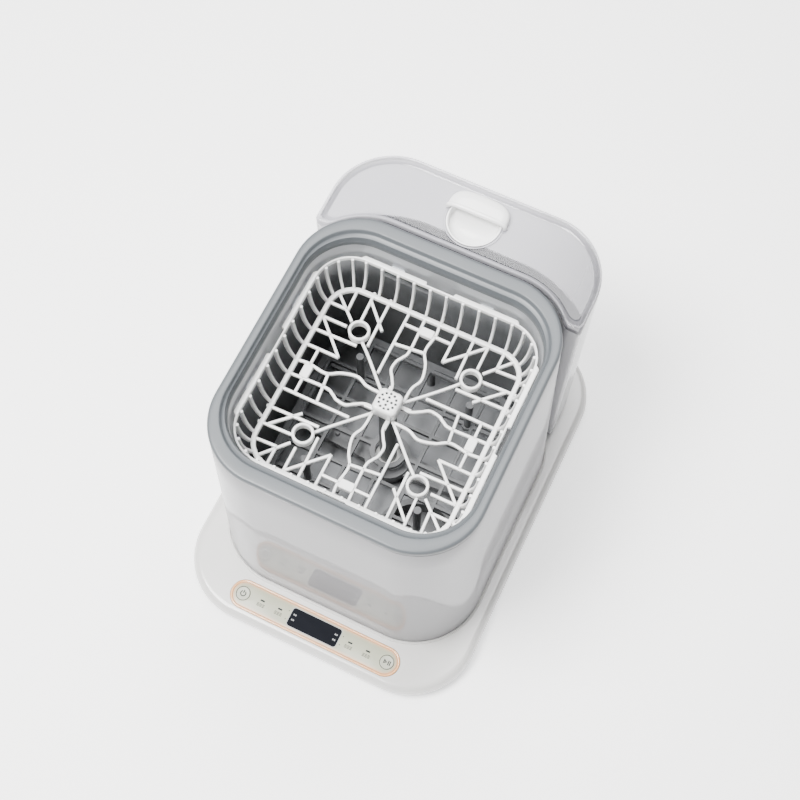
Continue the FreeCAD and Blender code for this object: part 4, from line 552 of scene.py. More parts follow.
@dataclass(frozen=True)
class Rounded:
    """Rounded rectangle, in millimetres."""

    half_x: float
    half_y: float
    radius: float
    centre_x: float = 0.0
    centre_y: float = 0.0

    def loop(self, grow: float = 0.0, corner: int = 20, side: int = 10,
             grow_y: float | None = None) -> Points:
        """Points round the outline, against the clock from the right side.

        Each corner is an arc about (half - radius), and the sides between are straight.

        Args:
            grow: How far the outline moves out, and how much the corner radius grows.
            corner: Number of points on a corner.
            side: Number of steps on a side.
            grow_y: How far it moves out in Y, where that differs.

        Returns:
            Array of X and Y, in millimetres.
        """
        radius = max(self.radius + grow, 0.05)
        x = self.half_x + grow - radius
        y = self.half_y + (grow if grow_y is None else grow_y) - radius
        arcs = [arc((sx * x, sy * y), radius, start, start + 90, corner)
                for sx, sy, start in ((1, 1, 0), (-1, 1, 90), (-1, -1, 180), (1, -1, 270))]
        share = np.linspace(0, 1, side + 1)[1:-1, None]
        parts = []
        for here, after in zip(arcs, arcs[1:] + arcs[:1]):
            parts += [here, here[-1] + (after[0] - here[-1]) * share]
        return np.concatenate(parts) + (self.centre_x, self.centre_y)


def lifted(loop: Points, z: float) -> Points:
    """Give a flat loop a height."""
    return np.column_stack([loop, np.full(len(loop), z)])


def stack(mesh: Mesh, loops: Sequence[Points], closed: bool, cap: bool = False) -> None:
    """Join loops of equal length into one skin.

    The skin is S(i, j) = point j of loop i, with straight lines between neighbours.

    Args:
        mesh: Mesh that takes the skin.
        loops: Loops in millimetres, with X, Y and Z, ordered so that the skin faces outwards.
        closed: Whether the last loop joins the first, as on a ring.
        cap: Whether the first and the last loop are filled.
    """
    rows = len(loops)
    columns = len(loops[0])
    faces = [tuple(face) for face in grid_faces(rows, columns, closed, True)]
    if cap:
        faces.append(tuple(range(columns))[::-1])
        faces.append(tuple(range((rows - 1) * columns, rows * columns)))
    mesh.add(millimetres(np.concatenate(loops)), faces)


def levels(outline: Rounded, rows: Sequence[Sequence[float]], corner: int = 20,
           side: int = 10) -> list[Points]:
    """Loops of an outline, one for each row of growth (or growth in X, growth in Y) and height."""
    return [lifted(outline.loop(row[0], corner, side, row[-2]), row[-1]) for row in rows]


def turned(mesh: Mesh, centre: Sequence[float], profile: Sequence[tuple[float, float]], count: int = 48,
           closed: bool = False) -> None:
    """Turn a profile of radius and height about an upright axis.

    The skin is (x + r cos a, y + r sin a, z) for each (r, z) of the profile. A radius of nought closes it.

    Args:
        mesh: Mesh that takes the skin.
        centre: Axis in plan, in millimetres.
        profile: Radii and heights, from the lowest outside point round to the top.
        count: Points round the axis.
        closed: Whether the profile's end joins its start.
    """
    loops = [lifted(arc(centre, radius, 0, 360 - 360 / count, count), z) for radius, z in profile]
    stack(mesh, loops, closed, cap=not closed)


def bar_section(width: float, height: float) -> Points:
    """Rounded rectangle about the origin, as the cross-section of a rib."""
    return Rounded(width / 2, height / 2, 0.9).loop(0, 3, 1)


def rib(mesh: Mesh, path: Points, section: Points, upright: Points) -> None:
    """Carry a section along a path.

    At each point of the path the section's first axis is across the path and its second axis is upright:
    S(i, j) = path(i) + u(j) * side(i) + v(j) * up(i), where side = direction x upright.

    Args:
        mesh: Mesh that takes the skin.
        path: Points of the path, in millimetres.
        section: Points of the section, in millimetres.
        upright: One direction, or one for each point, that the section's height follows.
    """
    path = np.asarray(path, float)
    along = np.gradient(path, axis=0)
    along /= np.linalg.norm(along, axis=1, keepdims=True)
    up = np.broadcast_to(np.asarray(upright, float), path.shape)
    side = np.cross(along, up)
    side /= np.linalg.norm(side, axis=1, keepdims=True)
    up = np.cross(side, along)
    skin = path[:, None] + section[None, :, :1] * side[:, None] + section[None, :, 1:] * up[:, None]
    stack(mesh, list(skin), closed=False, cap=True)


def smoothed(points: Sequence[Sequence[float]], count: int) -> Points:
    """Smooth curve through points.

    Each coordinate is a Catmull-Rom spline of the point number: the slope at a point is half the step
    between its neighbours.

    Args:
        points: Points to pass through.
        count: Number of points to return.

    Returns:
        Array of evenly numbered points on the curve.
    """
    known = np.asarray(points, float)
    known = np.concatenate([[2 * known[0] - known[1]], known, [2 * known[-1] - known[-2]]])
    where = np.linspace(1, len(known) - 2 - 1e-9, count)
    i = np.floor(where).astype(int)
    t = (where - i)[:, None]
    a, b, c, d = known[i - 1], known[i], known[i + 1], known[i + 2]
    return b + 0.5 * t * (c - a + t * (2 * a - 5 * b + 4 * c - d + t * (3 * (b - c) + d - a)))


def cut_out(piece: bpy.types.Object, cutters: Sequence[bpy.types.Object]) -> None:
    """Cut shapes from a piece and drop the cutters.

    Args:
        piece: Piece that is cut.
        cutters: Closed objects to cut with.
    """
    for cutter in cutters:
        step = piece.modifiers.new("cut", "BOOLEAN")
        step.operation = "DIFFERENCE"
        step.solver = "EXACT"
        step.object = cutter
    bpy.context.view_layer.update()
    made = bpy.data.meshes.new_from_object(piece.evaluated_get(bpy.context.evaluated_depsgraph_get()))
    piece.modifiers.clear()
    old = piece.data
    piece.data = made
    made.name = old.name
    bpy.data.meshes.remove(old)
    for cutter in cutters:
        bpy.data.objects.remove(cutter)


def cutter_of(mesh: Mesh) -> bpy.types.Object:
    """Loose object for cutting with.

    Args:
        mesh: Closed shape of the cutter.

    Returns:
        The cutter.
    """
    made = bpy.data.objects.new("cutter", mesh.data("cutter"))
    bpy.context.scene.collection.objects.link(made)
    return made


# Shapes that several sub-assemblies share

BODY_Y = -15.0
BODY_FOOT = Rounded(129.0, 138.8, 67.7, centre_y=BODY_Y)
BODY_HEAD = Rounded(119.0, 128.8, 57.8, centre_y=BODY_Y)
BASE_EDGE = Rounded(145.0, 198.5, 66.0)
VALVE_PLACE = (45.0, 160.0)

# Points on a corner and steps on a side of the larger outlines
DECK_STEPS = (28, 14)
WALL_STEPS = (32, 16)
BASKET_STEPS = (40, 120)


def block_between(mesh: Mesh, low: Sequence[float], high: Sequence[float]) -> None:
    """Add a closed box between two corners, in millimetres.

    Args:
        mesh: Mesh that takes the box.
        low: Lowest X, Y and Z.
        high: Highest X, Y and Z.
    """
    centre = [(a + b) / 2 for a, b in zip(low, high)]
    half = [(b - a) / 2 for a, b in zip(low, high)]
    outline = Rounded(half[0], half[1], 0.05, centre[0], centre[1])
    stack(mesh, levels(outline, ((0, low[2]), (0, high[2])), 2, 1), False, cap=True)


def plate(mesh: Mesh, outline: Rounded, low: float, high: float, edge: float = 0.2) -> None:
    """Add a flat plate whose upper edge is eased.

    Args:
        mesh: Mesh that takes the plate.
        outline: Outline in plan.
        low: Height of its underside.
        high: Height of its top.
        edge: How far the upper edge is taken back.
    """
    rows = ((0.0, low), (0.0, high - edge), (-0.3 * edge, high - 0.3 * edge), (-edge, high))
    stack(mesh, levels(outline, rows), False, cap=True)


def flat_band(mesh: Mesh, inner: Points, outer: Points, low: float, high: float, closed: bool) -> None:
    """Add a low band between two lines of points in plan.

    The cross-section at point i is the box between inner(i) and outer(i), from the low to the high level.

    Args:
        mesh: Mesh that takes the band.
        inner: Points along one edge.
        outer: Points along the other edge, as many.
        low: Height of its underside.
        high: Height of its top.
        closed: Whether the band comes back to its start.
    """
    corners = [lifted(inner, low), lifted(outer, low), lifted(outer, high), lifted(inner, high)]
    sections = np.stack(corners, 1)
    stack(mesh, list(sections), closed, cap=not closed)


def quarter_turns(points: Points) -> list[Points]:
    """The points turned by no, one, two and three quarter turns about the upright axis.

    Args:
        points: Array whose last axis holds X, Y and Z.

    Returns:
        The four arrays, in that order.
    """
    flat = np.asarray(points, float)
    turns = [flat]
    for _ in range(3):
        last = turns[-1]
        turns.append(np.concatenate([-last[..., 1:2], last[..., :1], last[..., 2:]], -1))
    return turns


class Part:
    """Sub-assembly of the washer."""

    def build(self) -> list[bpy.types.Object]:
        """Build the pieces."""
        raise NotImplementedError

    def dress(self, finishes: dict[Finish, str]) -> None:
        """Give solids that stay in view their finish.

        Args:
            finishes: Names of the solids, with spaces between them, by finish.
        """
        for finish, names in finishes.items():
            for name in names.split():
                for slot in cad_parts[name].material_slots:
                    slot.material = material_of(finish)
                LOG.info("%s: %s", name, finish.name.lower())


# Sub-assemblies

@dataclass
class Base(Part):
    """Wide low base: deck, pan, feet and what its rear edge holds."""

    deck_top: float = 20.0
    skirt_bottom: float = 5.5
    plate: float = 3.0
    wall: float = 2.5
    bead: float = 2.2
    bead_height: float = 1.2
    socket_gap: float = 0.4

    def deck_mesh(self) -> Mesh:
        """Deck with its skirt.

        Loops follow the base outline from the inside of the skirt, under it and up its rounded outer face,
        then run over the deck to the outline of the wash body and back on the underside.

        Returns:
            Mesh of the deck and its skirt.
        """
        mesh = Mesh()
        top = self.deck_top
        outside = ((-self.wall, top - self.plate), (-self.wall, self.skirt_bottom + 0.4),
                   (-2.0, self.skirt_bottom), (-1.5, self.skirt_bottom + 0.2), (-0.6, 8.0), (-0.1, 10.0),
                   (0.0, 11.5), (-0.15, 13.2), (-0.7, 15.2), (-1.7, 17.1), (-3.1, 18.6), (-4.8, 19.6),
                   (-6.6, top), (-9.0, top))
        inside = ((self.bead + 2.0, top), (-7.5, top), (-7.5, top - self.plate))
        loops = levels(BASE_EDGE, outside, *DECK_STEPS) + levels(BODY_FOOT, inside, *DECK_STEPS)
        stack(mesh, loops, closed=True)
        return mesh

    def bead_mesh(self) -> Mesh:
        """Half-round bead at the foot of the wash body.

        Returns:
            Mesh of the bead.
        """
        mesh = Mesh()
        angle = np.radians(np.linspace(0, 180, 9))
        rows = [(0.3 + self.bead / 2 * (1 + math.cos(a)), self.deck_top + self.bead_height * math.sin(a))
                for a in angle]
        rows += [(0.3, self.deck_top - 0.4), (0.3 + self.bead, self.deck_top - 0.4)]
        stack(mesh, levels(BODY_FOOT, rows, *DECK_STEPS), closed=True)
        return mesh

    def rear_cutters(self) -> list[bpy.types.Object]:
        """Cutters round the socket, the filter drawer and the drain outlet.

        Returns:
            One loose cutter for each of the three.
        """
        cutters = []
        gap = self.socket_gap
        reach = 2 * BASE_EDGE.half_y
        for name in ("power_inlet", "air_filter_drawer", "drain_port"):
            low, high = (np.array(corner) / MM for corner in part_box(name))
            mesh = Mesh()
            if name == "drain_port":
                ring = arc(((low[0] + high[0]) / 2, (low[2] + high[2]) / 2), (high[0] - low[0]) / 2 + gap,
                           0, 330, 24)
                stack(mesh, [np.column_stack([ring[:, 0], np.full(len(ring), y), ring[:, 1]])
                             for y in (BASE_EDGE.half_y - 12.0, reach)], False, cap=True)
            else:
                block_between(mesh, (low[0] - gap, BASE_EDGE.half_y - 14.0, low[2] - gap),
                              (high[0] + gap, reach, high[2] + gap))
            cutters.append(cutter_of(mesh))
        return cutters

    def build(self) -> list[bpy.types.Object]:
        """Build the deck and the bead.

        Returns:
            Deck and bead.
        """
        deck = self.deck_mesh().piece("deck", "base", Finish.DECK, 30)
        pocket = Mesh()
        plate(pocket, ControlPanel().outline(0.3), self.deck_top - 2.0, self.deck_top + 5.0)
        hub = Mesh()
        turned(hub, VALVE_PLACE, ((0.0, 10.0), (9.3, 10.0), (9.3, 25.0), (0.0, 25.0)), 40)
        cut_out(deck, [cutter_of(pocket), cutter_of(hub), *self.rear_cutters()])
        bead = self.bead_mesh().piece("deck_bead", "base", Finish.DECK)
        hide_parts("base_deck")
        self.dress({
            Finish.MID: "base_pan drain_port", Finish.FOOT: "rubber_feet", Finish.STEEL: "base_screws",
            Finish.DARK: "power_inlet board_cover", Finish.DECK: "air_filter_drawer",
            Finish.FELT: "air_filter_pad", Finish.BOARD: "control_board"})
        return [deck, bead]


class Icon(Enum):
    """Generic marks on the buttons."""

    POWER = "power"
    START = "start"


@dataclass
class ControlPanel(Part):
    """Pill-shaped panel in the deck: amber bezel, pale fascia, display, light bars and two buttons."""

    half_length: float = 88.0
    half_width: float = 14.0
    centre_y: float = -175.5
    bezel: float = 2.3
    low: float = 18.2
    face: float = 20.4
    display_half: tuple[float, float] = (26.0, 9.45)
    display_corner: float = 3.0
    button_x: float = 75.8
    button_radius: float = 6.3
    bars: tuple[float, ...] = (-55.6, -37.0, 37.0, 55.6)
    bar_half: tuple[float, float] = (2.2, 0.8)
    bar_offset: float = 1.5
    ink: float = 0.02

    def outline(self, grow: float) -> Rounded:
        """Pill outline, grown all round."""
        return Rounded(self.half_length + grow, self.half_width + grow, self.half_width + grow - 0.05,
                       centre_y=self.centre_y)

    def bezel_mesh(self) -> Mesh:
        """Rounded frame of the panel.

        Returns:
            Mesh of the bezel.
        """
        mesh = Mesh()
        rows = ((0.0, self.low), (0.0, 20.1), (-0.25, 20.5), (-0.8, 20.75), (-1.5, 20.75), (-2.05, 20.5),
                (-self.bezel, 20.1), (-self.bezel, self.low))
        stack(mesh, levels(self.outline(0), rows), closed=True)
        return mesh

    def display(self, inset: float) -> Rounded:
        """Outline of the display, taken in all round."""
        sizes = (*(half - inset for half in self.display_half), self.display_corner - inset / 2)
        return Rounded(*sizes, centre_y=self.centre_y)

    def bar(self, x: float, grow: float) -> Rounded:
        """Outline of one light bar."""
        return Rounded(self.bar_half[0] + grow, self.bar_half[1] + grow, 0.4 + grow, x,
                       self.centre_y + self.bar_offset)

    def fascia(self) -> bpy.types.Object:
        """Face plate with its openings cut.

        Returns:
            The face plate.
        """
        mesh = Mesh()
        plate(mesh, self.outline(-self.bezel - 0.15), self.low, self.face, 0.15)
        made = mesh.piece("panel_fascia", "base", Finish.FASCIA)
        holes = []
        for outline in [self.display(-0.1), *(self.bar(x, 0.05) for x in self.bars)]:
            hole = Mesh()
            plate(hole, outline, self.low - 1.0, self.face + 2.0, 0.05)
            holes.append(cutter_of(hole))
        radius = self.button_radius + 0.3
        low, high = self.low - 1, self.face + 2
        for side in (-1, 1):
            hole = Mesh()
            turned(hole, (side * self.button_x, self.centre_y),
                   ((0.0, low), (radius, low), (radius, high), (0.0, high)), 64)
            holes.append(cutter_of(hole))
        cut_out(made, holes)
        return made

    def button(self, name: str, side: int) -> bpy.types.Object:
        """Round button with a shallow dish.

        Args:
            name: Name of the button and of its body.
            side: -1 on the left and 1 on the right.

        Returns:
            Face of the button.
        """
        mesh = Mesh()
        r = self.button_radius
        top = self.face + 0.1
        turned(mesh, (side * self.button_x, self.centre_y),
               ((0.0, top - 1.4), (r, top - 1.4), (r, top - 0.25), (r - 0.1, top - 0.05), (r - 0.35, top),
                (r - 0.9, top - 0.06), (r / 2, top - 0.12), (0.0, top - 0.14)), 64)
        made = mesh.piece(name + "_face", name, Finish.BUTTON)
        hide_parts(name)
        return made

    def ring(self, name: str, side: int) -> bpy.types.Object:
        """Printed ring round a button.

        Args:
            name: Name of the button.
            side: -1 on the left and 1 on the right.

        Returns:
            The ring.
        """
        mesh = Mesh()
        place = (side * self.button_x, self.centre_y)
        top = self.face + 2 * self.ink
        inner, outer = (arc(place, self.button_radius + gap, 0, 355, 72) for gap in (0.2, 0.75))
        flat_band(mesh, inner, outer, top - 0.2, top, True)
        return mesh.piece(name + "_ring", "base", Finish.LABEL)

    def icon(self, kind: Icon, body: str, side: int) -> bpy.types.Object:
        """Power or start mark on a button.

        The power mark is an open ring with an upright bar; the start mark is a triangle and two bars.

        Args:
            kind: Which mark it is.
            body: Name of the button and of its body.
            side: -1 on the left and 1 on the right.

        Returns:
            The mark.
        """
        mesh = Mesh()
        x, y = side * self.button_x, self.centre_y
        top = self.face + self.ink
        if kind is Icon.POWER:
            inner, outer = (arc((x, y), radius, -238, 58, 40) for radius in (2.0, 3.0))
            flat_band(mesh, inner, outer, top - 0.2, top, False)
            block_between(mesh, (x - 0.5, y + 0.4, top - 0.2), (x + 0.5, y + 3.4, top))
        else:
            triangle = np.array([(-3.2, -2.3), (0.5, 0.0), (-3.2, 2.3)])
            middle = triangle.mean(0)
            inner, outer = ((middle + (triangle - middle) * grow + (x, y)) for grow in (0.3, 1.0))
            flat_band(mesh, inner, outer, top - 0.2, top, True)
            for start in (1.1, 2.8):
                block_between(mesh, (x + start, y - 2.3, top - 0.2), (x + start + 1.0, y + 2.3, top))
        return mesh.piece(body + "_mark", body, Finish.PRINT)

    def ticks(self) -> bpy.types.Object:
        """Small printed ticks in front of each light bar and beside the display.

        Returns:
            All ticks, as one piece.
        """
        mesh = Mesh()
        top = self.face + self.ink
        for x in self.bars:
            y = self.centre_y + self.bar_offset - 4.6
            for start in (-3.9, -1.2, 1.5):
                for lift in (-1.2, 0.0, 1.2):
                    block_between(mesh, (x + start, y + lift - 0.32, top - 0.1),
                                  (x + start + 2.2, y + lift + 0.32, top))
        for side in (-1, 1):
            for offset in (-4.5, 4.0):
                x, y = side * 28.6, self.centre_y + offset
                block_between(mesh, (x - 0.5, y - 0.5, top - 0.1), (x + 0.5, y + 0.5, top))
        return mesh.piece("panel_ticks", "base", Finish.LABEL)

    def build(self) -> list[bpy.types.Object]:
        """Build the panel from its bezel inwards.

        Returns:
            Bezel, fascia, display, light bars, ticks, and the face, mark and ring of each button.
        """
        bezel = self.bezel_mesh().piece("panel_bezel", "base", Finish.AMBER)
        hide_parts("amber_bezel")
        fascia = self.fascia()
        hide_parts("control_fascia")
        glass = Mesh()
        plate(glass, self.display(0.05), self.low, self.face + 0.05, 0.15)
        window = glass.piece("display_glass", "base", Finish.GLASS)
        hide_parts("display_window")
        edge = Mesh()
        inner, outer = (self.display(inset).loop() for inset in (0.35, -0.2))
        flat_band(edge, inner, outer, self.face - 0.1, self.face + 0.08, True)
        for side in (-1, 1):
            for offset in (-2.6, 2.6):
                for shift in (0.0, 1.7):
                    x, y = side * (self.display_half[0] - 3.4 - shift), self.centre_y + offset
                    block_between(edge, (x - 0.55, y - 0.7, self.face), (x + 0.55, y + 0.7, self.face + 0.08))
        outline = edge.piece("display_outline", "base", Finish.MARK)
        lenses = Mesh()
        for x in self.bars:
            plate(lenses, self.bar(x, 0.0), self.low, self.face - 0.05, 0.1)
        lens = lenses.piece("light_bars", "base", Finish.PRINT)
        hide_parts("indicator_lenses")
        pieces = [bezel, fascia, window, outline, lens, self.ticks()]
        for name, side, kind in (("power_button", -1, Icon.POWER), ("start_pause_button", 1, Icon.START)):
            pieces += [self.button(name, side), self.icon(kind, name, side), self.ring(name, side)]
        self.dress({Finish.BOARD: "panel_board", Finish.DARK: "tact_switches display_module",
                    Finish.MID: "panel_board_pegs"})
        return pieces


@dataclass
class WashBody(Part):
    """Tapered outer wall, grey rim frame and the tub inside them."""

    foot: float = 20.0
    head: float = 270.0
    wall: float = 2.5
    top: float = 277.0
    sections: int = 8

    def wall_mesh(self) -> Mesh:
        """Wall whose outline runs straight from the foot outline to the head outline.

        S(i, j) = (1 - t) foot(j) + t head(j) at height foot + t (head - foot), outside and inside.

        Returns:
            Mesh of the wall.
        """
        mesh = Mesh()
        heights = np.linspace(0, 1, self.sections)
        steps = [(0.0, t) for t in heights[:-1]]
        steps += [(0.0, 0.997), (-0.25, 0.9993), (-0.7, 1.0), (-self.wall, 1.0)]
        steps += [(-self.wall, t) for t in heights[::-1][1:]]
        loops = []
        for grow, t in steps:
            foot, head = (outline.loop(grow, *WALL_STEPS) for outline in (BODY_FOOT, BODY_HEAD))
            loops.append(lifted((1 - t) * foot + t * head, self.foot + t * (self.head - self.foot)))
        stack(mesh, loops, closed=True)
        return mesh

    def rim_mesh(self) -> Mesh:
        """Rim frame with its rounded outer edge and two ledges inside.

        Each row of the section is the growth in X, the growth in Y and the height.

        Returns:
            Mesh of the rim.
        """
        rows = ((-2.8, -2.8, 264.0), (-2.8, -2.8, 270.9), (-1.0, -1.0, 271.0), (-0.3, -0.3, 271.2),
                (0.0, 0.0, 271.7), (0.0, 0.0, 273.9), (-0.25, -0.25, 275.2), (-0.9, -0.9, 276.2),
                (-1.8, -1.8, 276.8), (-3.0, -3.0, self.top), (-6.9, -12.1, self.top), (-7.4, -12.8, 276.7),
                (-8.0, -13.7, 275.3), (-8.4, -14.4, 273.9), (-8.8, -15.1, 273.4), (-9.9, -18.2, 272.8),
                (-10.2, -18.9, 271.9), (-10.5, -19.3, 269.9), (-10.8, -19.7, 268.9), (-11.1, -20.1, 268.4),
                (-11.3, -20.3, 267.2), (-11.3, -20.3, 264.0))
        mesh = Mesh()
        stack(mesh, levels(BODY_HEAD, rows, *WALL_STEPS), closed=True)
        return mesh

    def build(self) -> list[bpy.types.Object]:
        """Build the wall and the rim, and finish the wash parts.

        Returns:
            Wall and rim.
        """
        wall = self.wall_mesh().piece("body_wall", "base", Finish.WALL)
        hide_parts("body_shell")
        rim = self.rim_mesh().piece("rim", "base", Finish.RIM, 40)
        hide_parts("rim_frame")
        self.dress({
            Finish.TUB: "wash_tub", Finish.ARM: "sump_cup sump_filter riser_pipe spray_arm",
            Finish.MID: "pump_feed_pipe pump_volute pump_impeller drain_pump air_duct fresh_pump tank_dock",
            Finish.DARK: "rim_seal water_sensor drain_impeller blower_housing blower_wheel",
            Finish.PALE: "arm_bearing arm_retainer", Finish.CAN: "wash_motor blower_motor",
            Finish.STEEL: "wash_heater drying_heater", Finish.HOSE: "drain_hose fill_pipe fresh_hose",
            Finish.FOOT: "tank_pads", Finish.RACK: "lower_rack rack_posts"})
        return [wall, rim]


@dataclass
class Basket(Part):
    """Square basket for small parts: tabbed rim, curved ribs and an open floor."""

    half: float = 105.5
    corner: float = 37.0
    rim_top: float = 250.0
    rim_height: float = 4.5
    band: float = 4.6
    notch: float = 2.7
    tabs: tuple[float, float] = (13.0, 73.0)
    tab_step: float = 0.8
    foot_half: float = 93.0
    foot_corner: float = 26.0
    foot_band: float = 4.4
    floor: float = 208.0
    floor_rib: tuple[float, float] = (2.6, 4.0)
    wall_section: tuple[float, float] = (2.4, 4.4)
    rim_inset: float = 1.9
    foot_inset: float = 2.0
    pitch: float = 15.25
    ribs_each_way: int = 5
    corner_angles: tuple[float, ...] = (22.5, 45.0, 67.5)
    ring_place: float = 53.4
    ring_radii: tuple[float, float] = (7.3, 9.7)

    def rim_mesh(self) -> Mesh:
        """Rim that stands further out along the tabs.

        A point's place along its side is t = min(|x|, |y|). The outline is pushed out by the notch where t
        lies between the tab's ends, with a short smooth step at each.

        Returns:
            Mesh of the rim.
        """
        narrow = Rounded(self.half - self.notch, self.half - self.notch, self.corner - self.notch)
        base = narrow.loop(0, *BASKET_STEPS)
        wide = narrow.loop(self.notch, *BASKET_STEPS)
        t = np.abs(wide).min(1)
        near, far = (np.clip(gap / self.tab_step + 0.5, 0, 1) for gap in (t - self.tabs[0], self.tabs[1] - t))
        rise = near * far
        share = (rise * rise * (3 - 2 * rise))[:, None]
        inward = narrow.loop(self.notch - self.band, *BASKET_STEPS)
        outwards = (base - inward) / np.linalg.norm(base - inward, axis=1, keepdims=True)
        low, high = self.rim_top - self.rim_height, self.rim_top
        mesh = Mesh()
        loops = []
        for inset, z in ((0.5, low), (0.0, low + 0.6), (0.0, high - 0.9), (0.3, high - 0.25), (0.9, high)):
            loops.append(lifted(narrow.loop(-inset, *BASKET_STEPS) + (wide - base) * share, z))
        for inset, z in ((0.8, high), (0.25, high - 0.3), (0.0, high - 1.0), (0.0, low + 0.5), (0.4, low)):
            loops.append(lifted(inward + outwards * inset, z))
        stack(mesh, [loop + (0, BODY_Y, 0) for loop in loops], closed=True)
        return mesh

    def wall_path(self, out: float, inner: float) -> Points:
        """Path of a wall rib in the plane of distance and height.

        Args:
            out: Distance of the rim end from the middle.
            inner: Distance of the foot end from the middle.

        Returns:
            Path with distance, nought and height.
        """
        lean = out - inner
        low, high = self.floor + 1.6, self.rim_top - 1.5
        rise = high - low
        return smoothed([(out, 0, high), (out - 0.04 * lean, 0, low + 0.75 * rise),
                         (out - 0.2 * lean, 0, low + 0.42 * rise), (out - 0.52 * lean, 0, low + 0.16 * rise),
                         (inner + 0.12 * lean, 0, low + 0.03 * rise), (inner - 2.0, 0, low)], 16)

    def wall_mesh(self) -> Mesh:
        """All ribs of the four walls and the four corners.

        Returns:
            Mesh of the ribs.
        """
        mesh = Mesh()
        section = bar_section(*self.wall_section)
        path = self.wall_path(self.half - self.notch - self.rim_inset, self.foot_half - self.foot_inset)
        normal = np.gradient(path, axis=0) @ np.array([(0, 0, -1), (0, 1, 0), (1, 0, 0)])
        for n in range(self.ribs_each_way):
            for sign in (-1, 1):
                side = path + (0, sign * (n + 0.5) * self.pitch, 0)
                for turned_path, turned_up in zip(quarter_turns(side), quarter_turns(normal)):
                    rib(mesh, turned_path + (0, BODY_Y, 0), section, turned_up)
        arc_out = self.corner - self.notch - self.rim_inset
        arc_in = self.foot_corner - self.foot_inset
        centre_out, centre_in = self.half - self.corner, self.foot_half - self.foot_corner
        path = self.wall_path(arc_out, arc_in)
        share = np.clip((path[:, :1] - arc_in) / (arc_out - arc_in), 0, 1)
        slope = np.gradient(path, axis=0)
        for angle in self.corner_angles:
            direction = np.array([math.cos(math.radians(angle)), math.sin(math.radians(angle))])
            plan = path[:, :1] * direction + centre_in + share * (centre_out - centre_in)
            line = np.column_stack([plan, path[:, 2]])
            normal = np.column_stack([slope[:, 2:] * direction, -slope[:, 0]])
            for turned_path, turned_up in zip(quarter_turns(line), quarter_turns(normal)):
                rib(mesh, turned_path + (0, BODY_Y, 0), section, turned_up)
        return mesh

    def foot_mesh(self) -> Mesh:
        """Rounded ring where the walls meet the floor.

        Returns:
            Mesh of the ring.
        """
        ring = Rounded(self.foot_half, self.foot_half, self.foot_corner, centre_y=BODY_Y)
        low, high = self.floor, self.floor + self.floor_rib[1] + 0.6
        band = self.foot_band
        rows = ((-0.5, low), (0.0, low + 0.6), (0.0, high - 1.3), (-0.4, high - 0.4), (-1.3, high),
                (-band + 1.3, high), (-band + 0.4, high - 0.4), (-band, high - 1.3), (-band, low + 0.6),
                (-band + 0.5, low))
        mesh = Mesh()
        stack(mesh, levels(ring, rows), closed=True)
        return mesh

    def floor_lines(self) -> list[Points]:
        """Middle lines of one quarter of the floor ribs, straight or wavy, from the middle outwards.

        Returns:
            Lines with X and Y from the middle of the basket, in millimetres.
        """
        straight = (((-24, -66), (-24, -91)), ((22, -26), (22, -91)), ((-24, -78), (22, -78)),
                    ((-7, -60), (22, -57)), ((6, -8), (6, -19)), ((-94, -42), (-45, -41)),
                    ((-94, -58), (-62, -57)), ((-85, -57), (-63, -36)), ((-91, -73), (-69, -72)),
                    ((-81, -87), (-60, -64)), ((-69, -72), (-69, -91)), ((-54, -66), (-54, -91)),
                    ((-54, -89), (-24, -59)), ((-41, -50), (-40, -91)), ((-24, -59), (-24, -66)))
        waves = (((5, -9), (5, -19), (9, -27), (13, -34), (12, -43), (9, -48), (6, -57), (7, -91)),
                 ((-10, -9), (-10, -17), (-11, -26), (-15, -36), (-12, -50), (-6, -62), (-8, -79), (-7, -91)),
                 ((-8, -8), (-19, -19), (-36, -36), (-47, -48)))
        lines = [np.array(ends, float) for ends in straight]
        lines += [smoothed(points, 5 * len(points)) for points in waves]
        return lines

    def floor_mesh(self) -> Mesh:
        """Floor ribs, rings and tabs, turned four times about the middle.

        Returns:
            Mesh of the floor.
        """
        mesh = Mesh()
        section = bar_section(*self.floor_rib)
        for line in self.floor_lines():
            path = lifted(line, self.floor + self.floor_rib[1] / 2)
            for turned_path in quarter_turns(path):
                rib(mesh, turned_path + (0, BODY_Y, 0), section, (0, 0, 1))
        tab = Rounded(6.5, 4.0, 1.2, 0, -78.0)
        for loops in zip(*map(quarter_turns, levels(tab, ((0.0, 208.2), (0.0, 212.6), (-0.5, 213.1)), 6, 2))):
            stack(mesh, [loop + (0, BODY_Y, 0) for loop in loops], False, cap=True)
        inner, outer = self.ring_radii
        for side_x in (-1, 1):
            for side_y in (-1, 1):
                turned(mesh, (side_x * self.ring_place, BODY_Y + side_y * self.ring_place),
                       ((outer - 0.3, 208.0), (outer, 208.4), (outer, 215.3), (outer - 0.7, 216.0),
                        (inner + 0.7, 216.0), (inner, 215.3), (inner, 208.3), (inner + 0.3, 208.0)), 40, True)
        return mesh

    def build(self) -> list[bpy.types.Object]:
        """Build the rim, the walls and the floor.

        Returns:
            Rim, wall ribs, foot ring and floor.
        """
        pieces = [self.rim_mesh().piece("rim_moulding", "basket", Finish.BASKET),
                  self.wall_mesh().piece("wall_ribs", "basket", Finish.BASKET),
                  self.foot_mesh().piece("foot_ring", "basket", Finish.BASKET),
                  self.floor_mesh().piece("floor_ribs", "basket", Finish.BASKET)]
        for index, node in ((0, "basket_rim"), (1, "basket_walls"), (3, "basket_floor")):
            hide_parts(node)
        return pieces


